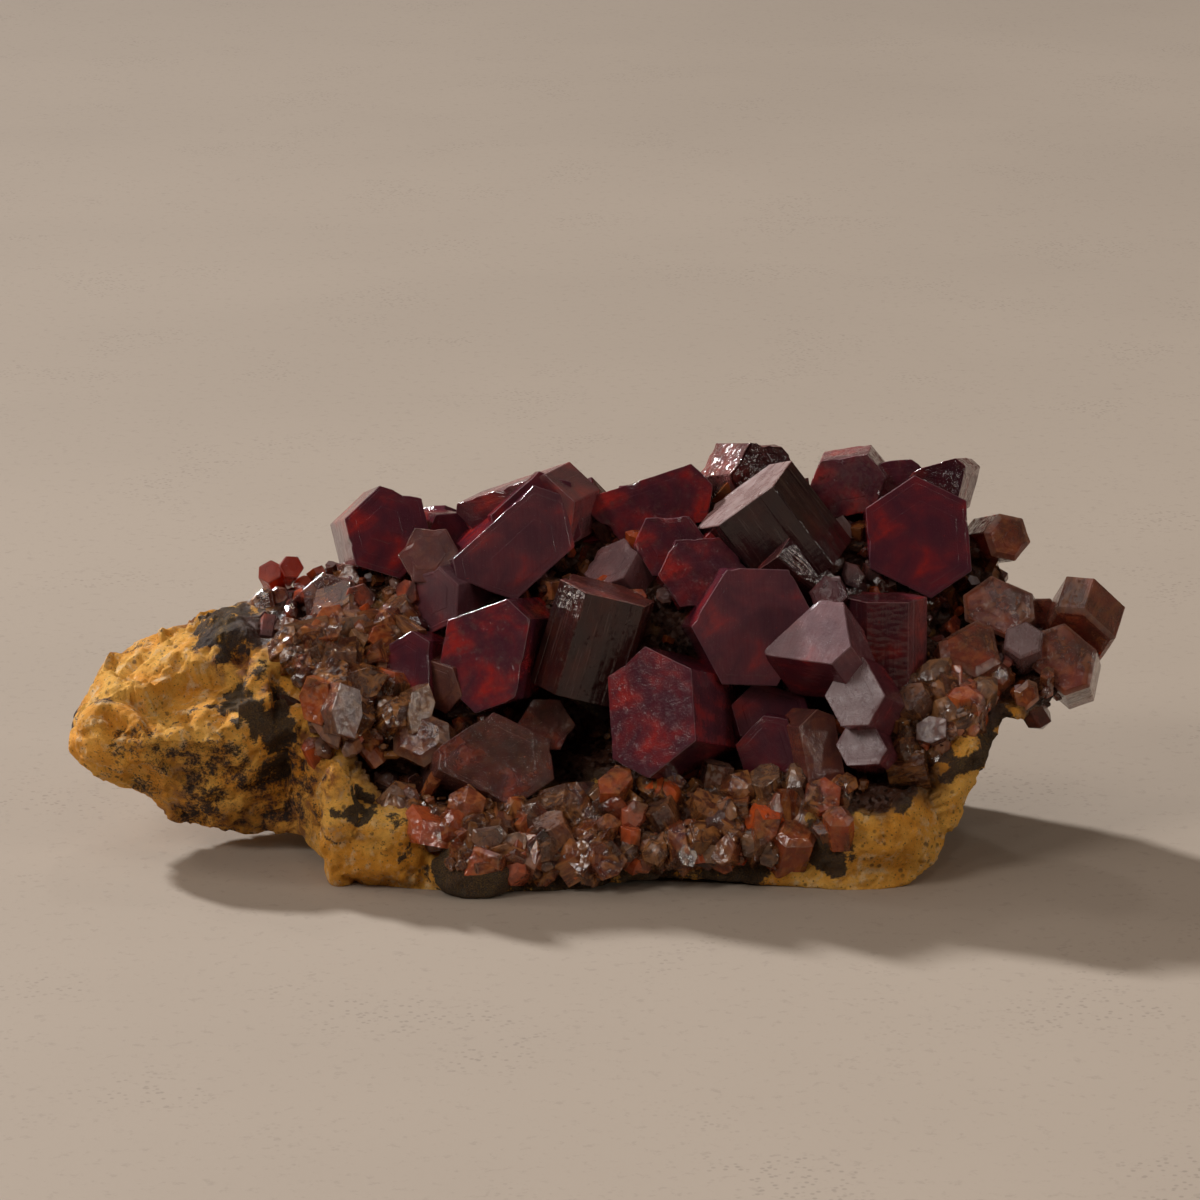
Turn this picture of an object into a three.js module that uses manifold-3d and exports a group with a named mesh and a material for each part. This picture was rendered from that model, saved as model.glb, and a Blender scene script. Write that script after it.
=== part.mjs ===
// A hand specimen of vanadinite: dark red hexagonal prisms on a lump of ochre limonite rock.
// Millimetres, +Z up. +X is the specimen's length, -Y its display side.
// Every crystal is a hexagonal prism given by the middle of its outer end face.

import * as THREE from 'three';
import { mergeVertices } from 'three/addons/utils/BufferGeometryUtils.js';
import Module from 'manifold-3d';

const wasm = await Module();
wasm.setup();

// Driving dimensions
const GAP = 0.3;                  // clearance where separate pieces grew against each other
const ROCK_COLUMNS = 24;          // slices along the rock
const ROCK_ROUND = 16;            // points round each slice
const ROCK_ROUGHNESS = 1.0;       // height of the rock's lumps
const ROCK_LUMP = 6;              // width of the rock's lumps
const CRUST_THICKNESS = 1.8;      // the sheet that the small crystals stand on
const CRUST_REACH = 4.2;          // how far a crust's crystals stand out of the rock's surface
const CRUST_RIM = { along: 0.009, around: 0.016 };  // how far a crust's room passes its edges
const CRUST_LIFT = 0.4;           // height of the crusts' lowest point over the surface below

// Noise

function hash(ix, iy, iz, seed) {
  const h = Math.sin(ix * 127.1 + iy * 311.7 + iz * 74.7 + seed * 53.3) * 43758.5453;
  return h - Math.floor(h);
}

function noise(x, y, z, seed) {
  const fx = Math.floor(x);
  const fy = Math.floor(y);
  const fz = Math.floor(z);
  const ease = (t) => t * t * (3 - 2 * t);
  const u = ease(x - fx);
  const v = ease(y - fy);
  const w = ease(z - fz);
  let sum = 0;
  for (let corner = 0; corner < 8; corner++) {
    const dx = corner & 1;
    const dy = (corner >> 1) & 1;
    const dz = (corner >> 2) & 1;
    const weight = (dx ? u : 1 - u) * (dy ? v : 1 - v) * (dz ? w : 1 - w);
    sum += weight * hash(fx + dx, fy + dy, fz + dz, seed);
  }
  return 2 * sum - 1;
}

function roughness(x, y, z, size, seed) {
  const fine = size / 2.3;
  return noise(x / size, y / size, z / size, seed) + 0.45 * noise(x / fine, y / fine, z / fine, seed + 7);
}

function randomStream(seed) {
  let state = seed;
  return () => {
    state = (state * 1664525 + 1013904223) % 4294967296;
    return state / 4294967296;
  };
}

// Solids

function toSolid(geometry) {
  const bare = geometry.clone();
  bare.deleteAttribute('normal');
  bare.deleteAttribute('uv');
  const merged = mergeVertices(bare);
  return new wasm.Manifold(new wasm.Mesh({
    numProp: 3,
    vertProperties: new Float32Array(merged.attributes.position.array),
    triVerts: new Uint32Array(merged.index.array),
  }));
}

function toGeometry(solid) {
  const mesh = solid.getMesh();
  const geometry = new THREE.BufferGeometry();
  geometry.setAttribute('position', new THREE.BufferAttribute(new Float32Array(mesh.vertProperties), 3));
  geometry.setIndex(new THREE.BufferAttribute(new Uint32Array(mesh.triVerts), 1));
  const flat = geometry.toNonIndexed();
  flat.computeVertexNormals();
  return flat;
}

function joined(solids) {
  return solids.reduce((sum, solid) => sum.add(solid));
}

// The crumbs that a cut leaves beside the main body are dropped.
function mainBody(solid) {
  return solid.decompose().sort((a, b) => b.volume() - a.volume())[0];
}

// One crystal: a prism with sides 60 degrees apart. turn swings its end face to the right,
// rise tips it up, first is the direction of the first side, sides are their distances from the axis.
function prism({ at, turn = 0, rise = 0, first = 30, sides, length }, grow = 0) {
  const t = THREE.MathUtils.degToRad(turn);
  const r = THREE.MathUtils.degToRad(rise);
  const outward = new THREE.Vector3(Math.sin(t) * Math.cos(r), -Math.cos(t) * Math.cos(r), Math.sin(r));
  const across = new THREE.Vector3(Math.cos(t), Math.sin(t), 0);
  const up = new THREE.Vector3().crossVectors(outward, across);
  const distance = (k) => (Array.isArray(sides) ? sides[(k + 6) % 6] : sides) + grow;
  const shape = new THREE.Shape();
  for (let k = 0; k < 6; k++) {
    const a = THREE.MathUtils.degToRad(first + 60 * k);
    const along = (2 * distance(k + 1) - distance(k)) / Math.sqrt(3);
    const x = distance(k) * Math.cos(a) - along * Math.sin(a);
    const y = distance(k) * Math.sin(a) + along * Math.cos(a);
    if (k === 0) {
      shape.moveTo(x, y);
    } else {
      shape.lineTo(x, y);
    }
  }
  const geometry = new THREE.ExtrudeGeometry(shape, { depth: length + 2 * grow, bevelEnabled: false });
  geometry.translate(0, 0, -length - grow);
  geometry.applyMatrix4(new THREE.Matrix4().makeBasis(across, up, outward).setPosition(...at));
  return toSolid(geometry);
}

// A rounded, broken lump of rock.
function lump({ at, size, detail = 1, seed, rough = 0.12, turn = 0 }) {
  const geometry = new THREE.IcosahedronGeometry(1, detail);
  const p = geometry.attributes.position;
  for (let i = 0; i < p.count; i++) {
    const [x, y, z] = [p.getX(i), p.getY(i), p.getZ(i)];
    const k = 1 + rough * roughness(x, y, z, 0.9, seed);
    p.setXYZ(i, x * k * size[0], y * k * size[1], z * k * size[2]);
  }
  geometry.rotateZ(THREE.MathUtils.degToRad(turn));
  geometry.translate(...at);
  return toSolid(geometry);
}

// The rock: slices along X, each a ring of eight [y, z] points in order
// toe, front, brow, top, shoulder, back, heel, sole.
const SLICES = [
  { x: -42.3,
    ring: [[-4.6, 8.0], [-5.0, 8.4], [-5.0, 8.9], [-4.0, 9.2],
      [-3.0, 9.2], [-2.6, 8.8], [-2.8, 8.2], [-3.8, 7.9]] },
  { x: -40.5,
    ring: [[-6.0, 7.0], [-7.2, 8.4], [-7.2, 9.8], [-2.0, 12.0],
      [2.0, 12.8], [3.6, 10.2], [2.0, 7.6], [-3.0, 6.4]] },
  { x: -37.0,
    ring: [[-5.5, 5.0], [-8.2, 7.8], [-9.0, 10.6], [-3.0, 14.2],
      [2.5, 16.0], [6.2, 12.4], [4.6, 7.4], [-1.5, 4.8]] },
  { x: -33.0,
    ring: [[-5.5, 2.4], [-8.2, 7.0], [-9.4, 11.6], [-3.0, 15.4],
      [4.0, 17.4], [8.6, 13.4], [7.4, 6.6], [0.0, 2.8]] },
  { x: -28.5,
    ring: [[-5.5, 1.6], [-8.0, 7.6], [-9.4, 13.0], [-2.5, 16.4],
      [5.0, 18.4], [10.6, 13.8], [9.4, 5.6], [1.0, 2.2]] },
  { x: -24.5,
    ring: [[-6.5, 1.8], [-8.6, 7.8], [-8.8, 13.8], [-2.0, 16.8],
      [6.0, 18.8], [12.0, 14.0], [11.0, 5.0], [2.0, 2.4]] },
  { x: -20.0,
    ring: [[-12.5, 0.2], [-12.0, 5.0], [-8.6, 11.0], [-2.5, 17.2],
      [6.5, 20.2], [13.6, 14.2], [12.2, 4.6], [0.0, 1.6]] },
  { x: -13.5,
    ring: [[-15.0, -0.8], [-14.0, 3.4], [-8.8, 8.6], [-2.0, 17.6],
      [7.0, 22.0], [15.2, 14.6], [13.0, 1.6], [-1.0, 1.2]] },
  { x: -6.0,
    ring: [[-15.4, -0.6], [-14.2, 2.8], [-8.4, 8.0], [-1.2, 18.4],
      [7.6, 23.4], [16.6, 15.0], [14.6, -0.6], [0.0, 1.2]] },
  { x: 1.0,
    ring: [[-14.8, 0.4], [-14.0, 3.0], [-8.0, 8.6], [-1.0, 18.8],
      [8.0, 24.4], [17.4, 15.4], [15.4, -0.8], [0.0, 1.4]] },
  { x: 8.0,
    ring: [[-14.2, 0.6], [-13.4, 3.4], [-7.6, 9.0], [-0.8, 19.2],
      [8.8, 25.4], [17.6, 15.4], [15.2, -0.8], [0.5, 1.4]] },
  { x: 15.0,
    ring: [[-14.4, 0.2], [-13.2, 4.0], [-7.6, 9.2], [-0.8, 19.0],
      [8.8, 25.8], [17.0, 15.2], [14.2, -0.2], [0.0, 1.2]] },
  { x: 21.0,
    ring: [[-15.2, -0.8], [-14.4, 4.0], [-8.8, 10.0], [-1.0, 18.4],
      [8.6, 25.4], [15.8, 14.8], [12.4, 2.2], [-1.0, 1.0]] },
  { x: 25.5,
    ring: [[-13.6, 1.0], [-13.4, 4.8], [-8.6, 11.0], [-1.0, 17.8],
      [7.8, 24.6], [14.0, 14.8], [10.6, 4.8], [-1.0, 2.4]] },
  { x: 29.5,
    ring: [[-9.8, 6.2], [-10.2, 8.8], [-7.4, 12.4], [-1.0, 16.8],
      [7.0, 22.2], [11.8, 14.4], [8.6, 8.2], [-1.0, 6.4]] },
  { x: 33.6,
    ring: [[-5.6, 10.8], [-6.2, 12.0], [-4.8, 13.4], [-1.0, 15.2],
      [5.0, 17.8], [8.0, 14.0], [5.8, 11.2], [0.0, 10.4]] },
  { x: 37.2,
    ring: [[-2.4, 12.8], [-2.8, 13.4], [-2.0, 14.2], [0.0, 14.6],
      [2.4, 14.6], [3.4, 13.8], [2.4, 12.9], [0.2, 12.5]] },
];

const ringPaths = SLICES.map(({ x, ring }) =>
  new THREE.CatmullRomCurve3(ring.map(([y, z]) => new THREE.Vector3(x, y, z)), true, 'centripetal'));

// A point of the smooth rock. along runs 0 to 1 from the left tip to the right end,
// around runs 0 to 1 from the toe up the front, over the top and down the back.
function rockPoint(along, around) {
  const guide = ringPaths.map((path) => path.getPoint(((around % 1) + 1) % 1));
  return new THREE.CatmullRomCurve3(guide, false, 'centripetal').getPoint(along);
}

function rockNormal(along, around) {
  const step = 0.01;
  const a = rockPoint(Math.min(along + step, 1), around).sub(rockPoint(Math.max(along - step, 0), around));
  const b = rockPoint(along, around + step).sub(rockPoint(along, around - step));
  return new THREE.Vector3().crossVectors(a, b).normalize();
}

// A closed skin over rows of rings, with a fan over each end.
function skin(rings) {
  const round = rings[0].length;
  const points = rings.flat();
  const faces = [];
  for (let i = 0; i + 1 < rings.length; i++) {
    for (let j = 0; j < round; j++) {
      const a = i * round + j;
      const b = i * round + (j + 1) % round;
      faces.push(a, a + round, b + round, a, b + round, b);
    }
  }
  const middle = (ring) => ring.reduce((s, p) => s.add(p), new THREE.Vector3()).divideScalar(round);
  const left = points.push(middle(rings[0])) - 1;
  const right = points.push(middle(rings[rings.length - 1])) - 1;
  const last = (rings.length - 1) * round;
  for (let j = 0; j < round; j++) {
    faces.push(left, j, (j + 1) % round, right, last + (j + 1) % round, last + j);
  }
  const geometry = new THREE.BufferGeometry().setFromPoints(points);
  geometry.setIndex(faces);
  return toSolid(geometry);
}

function rockBody() {
  const rings = [];
  for (let i = 0; i < ROCK_COLUMNS; i++) {
    const along = i / (ROCK_COLUMNS - 1);
    const ring = [];
    for (let j = 0; j < ROCK_ROUND; j++) {
      const around = j / ROCK_ROUND;
      const p = rockPoint(along, around);
      const end = Math.min(1, 8 * along, 8 * (1 - along));
      const swell = ROCK_ROUGHNESS * end * roughness(p.x, p.y, p.z, ROCK_LUMP, 3);
      ring.push(p.addScaledVector(rockNormal(along, around), swell));
    }
    rings.push(ring);
  }
  return skin(rings);
}

const LUMPS = {
  upright_rib: { at: [-20.4, -13.0, 5.0], size: [1.4, 2.0, 6.0], seed: 4 },
  left_foot: { at: [-16.6, -12.4, 2.6], size: [4.2, 3.6, 3.6], seed: 5, rough: 0.2 },
  dark_foot: { at: [-9.6, -14.4, 1.0], size: [4.4, 2.8, 2.0], seed: 6, rough: 0.15 },
  right_lobe: { at: [21.0, -11.2, 3.8], size: [5.6, 4.6, 4.8], detail: 2, seed: 8, rough: 0.16 },
  right_shelf: { at: [27.4, -8.6, 9.2], size: [2.6, 3.0, 3.4], seed: 9, rough: 0.16, turn: 15 },
  wedge_boss: { at: [-37.6, -5.2, 10.6], size: [3.0, 3.2, 1.8], seed: 11, rough: 0.2 },
  wedge_ledge: { at: [-29.4, -3.4, 4.2], size: [4.6, 3.4, 2.4], seed: 12, rough: 0.2 },
  back_knob: { at: [12.0, 15.4, 9.0], size: [5.4, 3.4, 5.0], seed: 14, rough: 0.2 },
  back_ledge: { at: [-10.0, 14.2, 5.4], size: [6.4, 3.0, 3.6], seed: 15, rough: 0.2 },
};

// Crystals, by the pieces that they are grown into.
const CRYSTALS = {
  front_hexagon: {
    hexagon: { at: [4, -11, 13.4],
      turn: -30, rise: 20, first: 15, sides: [3.7, 4.3, 4.5, 3.7, 4.9, 4.3], length: 8.5 },
  },
  great_hexagon: {
    hexagon: { at: [11.8, -7, 18.8],
      turn: 8, rise: 16, first: 26, sides: [5.0, 4.8, 4.1, 4.0, 4.4, 4.2], length: 8.5 },
    bright_cap: { at: [16.4, -10.6, 19.4],
      turn: -35, rise: 45, first: 33, sides: [3.1, 3.3, 2.1, 4.1, 2.3, 3.6], length: 6 },
    lower_dark: { at: [13.6, -7.6, 12.0],
      turn: 12, rise: 28, first: 10, sides: [3.0, 2.2, 2.8, 3.0, 2.4, 2.8], length: 6 },
    foot_red: { at: [13.2, -10, 9.6],
      turn: -10, rise: 12, first: 20, sides: [2.3, 2.9, 2.3, 2.3, 2.9, 2.3], length: 6 },
  },
  dark_prism: {
    prism: { at: [0.6, -4.5, 21.3],
      turn: 104, rise: 73, first: 0, sides: [3.2, 3.5, 3.5, 2.7, 3.5, 3.5], length: 8.6 },
    stick: { at: [-3.4, -7.0, 14.8], turn: -60, rise: 38, sides: 0.8, length: 5.6 },
  },
  left_hexagon: {
    hexagon: { at: [-9.1, -7, 16.7],
      turn: -20, rise: 14, first: 54, sides: [4.6, 3.6, 3.6, 4.0, 4.1, 3.2], length: 8.5 },
    side: { at: [-15.3, -6, 15.3],
      turn: -20, rise: 16, first: 5, sides: [1.9, 2.8, 2.4, 1.9, 2.5, 2.9], length: 7 },
    brown: { at: [-12.9, -6.2, 13.8], turn: -30, rise: 0, first: 20, sides: 2.0, length: 6 },
  },
  tilted: {
    striated: { at: [11.5, 2, 27.4],
      turn: -90, rise: 53, first: 0, sides: [3.5, 4.1, 4.1, 3.4, 4.1, 4.1], length: 8.2 },
    thin: { at: [13.6, -0.6, 23.6], turn: -78, rise: 44, first: 30, sides: 1.9, length: 9 },
  },
  centre_crown: {
    leaning_hexagon: { at: [-6.8, 0, 23.8],
      turn: 14, rise: 15, first: 8, sides: [4.8, 5.0, 2.5, 5.2, 4.2, 3.4], length: 8 },
    lit_slab: { at: [-6.7, 3.6, 25.6],
      turn: -26, rise: 0, first: 53, sides: [4.2, 2.1, 5.4, 4.0, 4.0, 5.0], length: 4.5 },
    thin_plate: { at: [-5.2, 1.6, 25.0],
      turn: 14, rise: 15, first: 8, sides: [3.6, 4.2, 3.0, 3.4, 3.4, 3.2], length: 1.2 },
  },
  left_crown: {
    hexagon: { at: [-16.9, 3, 24.4],
      turn: 12, rise: 18, first: 10, sides: [3.1, 3.0, 3.0, 3.4, 3.7, 3.6], length: 8 },
    low_brown: { at: [-13.6, 0, 22.9], turn: -5, rise: 25, sides: 2.2, length: 6 },
    dark_peak: { at: [-12.2, 6, 23.0], turn: 20, rise: 10, sides: 1.7, length: 5 },
    grey_sided: { at: [-13.2, -1.5, 19.6],
      turn: -35, rise: 5, first: 0, sides: [2.3, 2.6, 2.3, 2.3, 2.6, 2.3], length: 7 },
  },
  right_crown: {
    hexagon: { at: [25.4, 1, 24.2],
      turn: 0, rise: 18, first: 4, sides: [4.1, 4.3, 4.2, 4.0, 4.0, 4.7], length: 8 },
  },
  pale_twins: {
    upper: { at: [19.5, -12.4, 14.9],
      turn: -26, rise: 26, first: 40, sides: [2.5, 3.3, 2.0, 1.8, 2.3, 2.5], length: 7 },
    lower: { at: [20.5, -12.8, 11.0],
      turn: -26, rise: 26, first: 40, sides: [1.6, 1.9, 2.1, 1.9, 1.5, 1.9], length: 6 },
    brown: { at: [17.4, -11.6, 10.2],
      turn: 24, rise: 14, first: 5, sides: [1.6, 3.0, 2.8, 1.6, 3.0, 2.8], length: 6 },
  },
  striated_prism: {
    prism: { at: [22.6, -4, 20.6], turn: 180, rise: 82, sides: 2.9, length: 9 },
    small: { at: [18.0, -4.6, 21.0],
      turn: -20, rise: 40, sides: [1.4, 1.7, 1.4, 1.4, 1.7, 1.4], length: 6 },
  },
  middle: {
    long_slab: { at: [3.2, 5, 25.7],
      turn: 4, rise: 18, first: 47, sides: [5.3, 1.9, 4.3, 3.2, 2.8, 5.6], length: 6 },
    upper: { at: [5.4, 0.8, 23.4],
      turn: -2, rise: 18, first: 34, sides: [2.9, 2.4, 2.6, 2.3, 2.3, 2.5], length: 6 },
    lower: { at: [8.2, -1.6, 21.6],
      turn: 4, rise: 24, first: 33, sides: [3.3, 3.1, 3.3, 2.9, 2.3, 2.9], length: 6 },
    side: { at: [10.6, 0.2, 23.6], turn: 8, rise: 18, first: 25, sides: 2.3, length: 6 },
    grey_corner: { at: [0.8, 1, 22.0], turn: -50, rise: 48, first: 10, sides: 2.2, length: 5 },
  },
  front_left: {
    rough_hexagon: { at: [-7.9, -11, 9.3],
      turn: 20, rise: 34, first: 56, sides: [3.5, 3.5, 5.0, 3.0, 3.7, 4.3], length: 7 },
    gold_brown: { at: [-14.3, -10, 11.0],
      turn: -15, rise: 30, first: 12, sides: [2.4, 1.9, 2.4, 2.2, 2.0, 2.2], length: 6 },
    dark: { at: [-4.2, -7, 11.0], turn: 10, rise: 24, first: 25, sides: 2.0, length: 6 },
  },
  right_end: {
    end_hexagon: { at: [38.2, -1, 16.4],
      turn: -22, rise: -36, first: 32, sides: [2.7, 3.4, 2.7, 3.0, 3.4, 2.7], length: 3.4 },
    brown_face: { at: [36.9, -4, 15.5],
      turn: -10, rise: 28, first: 52, sides: [2.2, 2.8, 2.4, 2.2, 2.8, 2.4], length: 6 },
    upper_hexagon: { at: [31.9, -1, 18.9],
      turn: -14, rise: 28, first: 10, sides: [2.7, 2.1, 2.6, 2.9, 2.1, 2.4], length: 6 },
    small_dark: { at: [35.6, 1.4, 17.8], turn: 0, rise: 20, sides: 1.1, length: 4 },
    pale_corner: { at: [33.6, -3.6, 17.0], turn: -14, rise: 46, first: 0, sides: 1.5, length: 5 },
  },
  right_brown: {
    hexagon: { at: [29.5, -5, 16.8],
      turn: 16, rise: 50, first: 55, sides: [2.9, 2.0, 2.6, 2.3, 2.2, 2.2], length: 7 },
  },
  right_knob: {
    hexagon: { at: [32.8, 3, 23.6], turn: 14, rise: 18, first: 15, sides: 1.75, length: 7 },
  },
  rough_black: {
    hexagon: { at: [13.4, 8, 27.2], turn: 26, rise: 14, first: 20, sides: 2.8, length: 6 },
  },
  crest: {
    brown_topped: { at: [20.0, 6, 27.4],
      turn: -6, rise: 6, first: 40, sides: [2.7, 2.0, 2.7, 2.8, 2.8, 2.8], length: 5.5 },
    sugared: { at: [24.2, 7.4, 27.0],
      turn: 10, rise: 18, first: 35, sides: [2.2, 1.8, 2.2, 2.4, 2.4, 2.4], length: 6 },
    wedge: { at: [27.2, 6.4, 27.2],
      turn: -16, rise: 14, first: 50, sides: [2.6, 1.5, 2.4, 2.4, 2.4, 2.0], length: 6 },
  },
  orange_pair: {
    left: { at: [-26.8, 6, 19.9], turn: -16, rise: 44, first: 8, sides: 0.95, length: 4.6 },
    right: { at: [-25.0, 6, 20.3], turn: 18, rise: 30, first: 20, sides: 0.9, length: 4.6 },
  },
  left_edge: {
    purple: { at: [-21.9, 1.6, 18.9], turn: -8, rise: 26, first: 14, sides: 1.9, length: 5 },
    glassy: { at: [-24.0, -0.4, 16.6], turn: -20, rise: 38, first: 40, sides: 1.5, length: 5 },
  },
  left_notch: {
    low: { at: [-19.4, -2.6, 15.6], turn: -24, rise: 20, first: 22, sides: 1.7, length: 5 },
  },
  back_middle: {
    large: { at: [-2.6, 12.6, 23.4],
      turn: 188, rise: 32, first: 20, sides: [3.9, 3.4, 3.7, 3.5, 3.8, 3.6], length: 7 },
    steep: { at: [4.8, 13.6, 23.8],
      turn: 160, rise: 50, first: 5, sides: [3.0, 3.3, 3.0, 2.8, 3.2, 3.0], length: 7 },
    low: { at: [2.2, 17.6, 17.8], turn: 176, rise: 16, first: 34, sides: 2.7, length: 7 },
  },
  back_left: {
    broad: { at: [-13.2, 12.2, 21.6],
      turn: 168, rise: 28, first: 12, sides: [3.2, 2.8, 3.1, 2.9, 3.0, 3.3], length: 7 },
    small: { at: [-17.2, 11.4, 19.8], turn: 200, rise: 34, first: 30, sides: 2.0, length: 6 },
  },
  back_right: {
    broad: { at: [14.8, 14.2, 22.6],
      turn: 174, rise: 26, first: 48, sides: [3.6, 3.2, 3.4, 3.7, 3.2, 3.4], length: 9 },
    tall: { at: [21.4, 12.0, 23.0], turn: 150, rise: 46, first: 16, sides: 2.8, length: 8 },
    end: { at: [28.8, 10.6, 20.4],
      turn: 132, rise: 22, first: 26, sides: [2.6, 2.3, 2.6, 2.4, 2.5, 2.6], length: 7 },
  },
  back_low_left: {
    hexagon: { at: [-9.4, 15.2, 18.2],
      turn: 176, rise: 20, first: 42, sides: [2.2, 2.6, 2.2, 2.4, 2.2, 2.2], length: 7 },
  },
  back_low_right: {
    hexagon: { at: [10.2, 18.4, 16.6], turn: 184, rise: 10, first: 8, sides: 2.1, length: 6 },
  },
};

// Crusts of small crystals. along and around are ranges over the rock's surface.
const CRUSTS = {
  front_druse: { along: [0.41, 0.74], around: [0.075, 0.2], count: 17, size: [1.1, 2.0], seed: 21 },
  left_druse: { along: [0.31, 0.42], around: [0.24, 0.37], count: 6, size: [1.0, 1.6], seed: 22 },
  right_druse: { along: [0.76, 0.88], around: [0.2, 0.33], count: 6, size: [1.0, 1.7], seed: 23 },
};

// A band of the rock's surface as a sheet from below to above it.
function band({ along, around }, below, above) {
  const columns = 6;
  const rows = 2;
  const rings = [];
  for (let i = 0; i <= columns; i++) {
    const a = THREE.MathUtils.lerp(along[0], along[1], i / columns);
    const outer = [];
    const inner = [];
    for (let j = 0; j <= rows; j++) {
      const b = THREE.MathUtils.lerp(around[0], around[1], j / rows);
      const normal = rockNormal(a, b);
      outer.push(rockPoint(a, b).addScaledVector(normal, above));
      inner.push(rockPoint(a, b).addScaledVector(normal, -below));
    }
    rings.push([...outer, ...inner.reverse()]);
  }
  return skin(rings);
}

function crust(spec) {
  const random = randomStream(spec.seed);
  const between = (low, high) => low + (high - low) * random();
  const half = CRUST_THICKNESS / 2;
  const solids = [band(spec, half, half)];
  for (let i = 0; i < spec.count; i++) {
    const a = THREE.MathUtils.lerp(...spec.along, (i + random()) / spec.count);
    const b = THREE.MathUtils.lerp(...spec.around, (i % 2) / 2 + between(0.06, 0.44));
    const normal = rockNormal(a, b);
    const lean = new THREE.Vector3(between(-0.6, 0.6), between(-0.6, 0.6), between(-0.6, 0.6));
    const outward = normal.clone().add(lean).normalize();
    const reach = between(1.3, 2.6);
    solids.push(prism({
      at: rockPoint(a, b).addScaledVector(outward, reach).toArray(),
      turn: THREE.MathUtils.radToDeg(Math.atan2(outward.x, -outward.y)),
      rise: THREE.MathUtils.radToDeg(Math.asin(outward.z)),
      first: between(0, 60),
      sides: between(...spec.size),
      length: reach + 0.3,
    }));
  }
  return joined(solids).intersect(band(spec, half, CRUST_REACH));
}

// The room that a crust takes out of the rock.
function crustRoom({ along, around }) {
  const widened = ([from, to], rim) => [from - rim, to + rim];
  const wide = { along: widened(along, CRUST_RIM.along), around: widened(around, CRUST_RIM.around) };
  return band(wide, CRUST_THICKNESS / 2 + 2.5 * GAP, CRUST_REACH + 2 * GAP);
}

// Materials

function finish(colour, roughnessValue) {
  return new THREE.MeshStandardMaterial({ color: colour, roughness: roughnessValue, metalness: 0 });
}

const DARK_RED = finish(0x4a0d12, 0.18);
const BROWN_RED = finish(0x6b3426, 0.25);
const ORANGE_RED = finish(0xb23a16, 0.2);
const OCHRE = finish(0xb07a33, 0.9);

const CRYSTAL_FINISH = {
  orange_pair: ORANGE_RED,
  left_edge: BROWN_RED,
  right_end: BROWN_RED,
  right_brown: BROWN_RED,
  front_left: BROWN_RED,
};

// Assembly: what grew first keeps its whole form, and the next is cut back by it with a gap.

const specimen = new THREE.Group();

function addPiece(name, solid, material) {
  const mesh = new THREE.Mesh(toGeometry(solid), material.clone());
  mesh.name = name;
  specimen.add(mesh);
}

let taken = null;
const below = (height) => toSolid(new THREE.BoxGeometry(200, 200, 20).translate(0, 0, height - 10));

for (const [group, crystals] of Object.entries(CRYSTALS)) {
  const specs = Object.values(crystals);
  const whole = joined(specs.map((spec) => prism(spec)));
  const solid = mainBody(taken ? whole.subtract(taken) : whole);
  addPiece(`${group}_crystals`, solid, CRYSTAL_FINISH[group] ?? DARK_RED);
  const grown = joined(specs.map((spec) => prism(spec, GAP)));
  taken = taken ? taken.add(grown) : grown;
}

for (const [name, spec] of Object.entries(CRUSTS)) {
  addPiece(name, mainBody(crust(spec).subtract(taken).subtract(below(CRUST_LIFT))), BROWN_RED);
  taken = joined([taken, crustRoom(spec)]);
}

const rock = joined([rockBody(), ...Object.values(LUMPS).map((spec) => lump(spec))]);
const rockCut = rock.subtract(taken).subtract(below(0));
addPiece('matrix', mainBody(rockCut), OCHRE);

// The origin is the middle of the specimen's footprint, on the surface that it rests on.
const box = new THREE.Box3().setFromObject(specimen);
specimen.position.set(-(box.min.x + box.max.x) / 2, -(box.min.y + box.max.y) / 2, -box.min.z);
specimen.updateMatrixWorld(true);

export default specimen;
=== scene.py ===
# A hand specimen of vanadinite: dark red hexagonal prisms and crusts of small brown ones, on an ochre rock.
# The tables and the shapes are in millimetres, and a mesh is turned into metres where it is made.
# +X is the specimen's length and -Y its display side.

import math

import bmesh
import bpy
import numpy as np
from mathutils import Matrix, Vector


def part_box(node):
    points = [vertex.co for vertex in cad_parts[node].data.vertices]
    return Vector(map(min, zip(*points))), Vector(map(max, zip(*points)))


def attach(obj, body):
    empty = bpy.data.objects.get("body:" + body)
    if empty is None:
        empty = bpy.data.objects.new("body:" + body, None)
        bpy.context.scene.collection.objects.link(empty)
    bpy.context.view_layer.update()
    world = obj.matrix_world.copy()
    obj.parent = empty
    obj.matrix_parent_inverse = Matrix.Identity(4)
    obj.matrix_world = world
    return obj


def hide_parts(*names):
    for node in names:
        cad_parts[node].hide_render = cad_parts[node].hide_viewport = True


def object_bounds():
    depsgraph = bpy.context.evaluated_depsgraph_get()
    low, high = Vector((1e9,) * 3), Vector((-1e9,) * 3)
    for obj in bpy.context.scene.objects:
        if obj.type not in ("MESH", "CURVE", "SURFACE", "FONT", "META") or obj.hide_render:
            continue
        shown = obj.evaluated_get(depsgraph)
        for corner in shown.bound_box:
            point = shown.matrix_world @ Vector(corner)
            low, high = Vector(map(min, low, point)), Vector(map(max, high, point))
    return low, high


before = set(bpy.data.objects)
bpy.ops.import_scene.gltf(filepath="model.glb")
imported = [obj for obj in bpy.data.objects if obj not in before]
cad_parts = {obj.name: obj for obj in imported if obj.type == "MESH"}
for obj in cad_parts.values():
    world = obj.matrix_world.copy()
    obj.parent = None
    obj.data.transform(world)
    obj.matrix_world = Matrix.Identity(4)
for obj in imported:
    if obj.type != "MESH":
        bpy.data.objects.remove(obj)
CAD_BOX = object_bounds()

MM = 0.001

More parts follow.
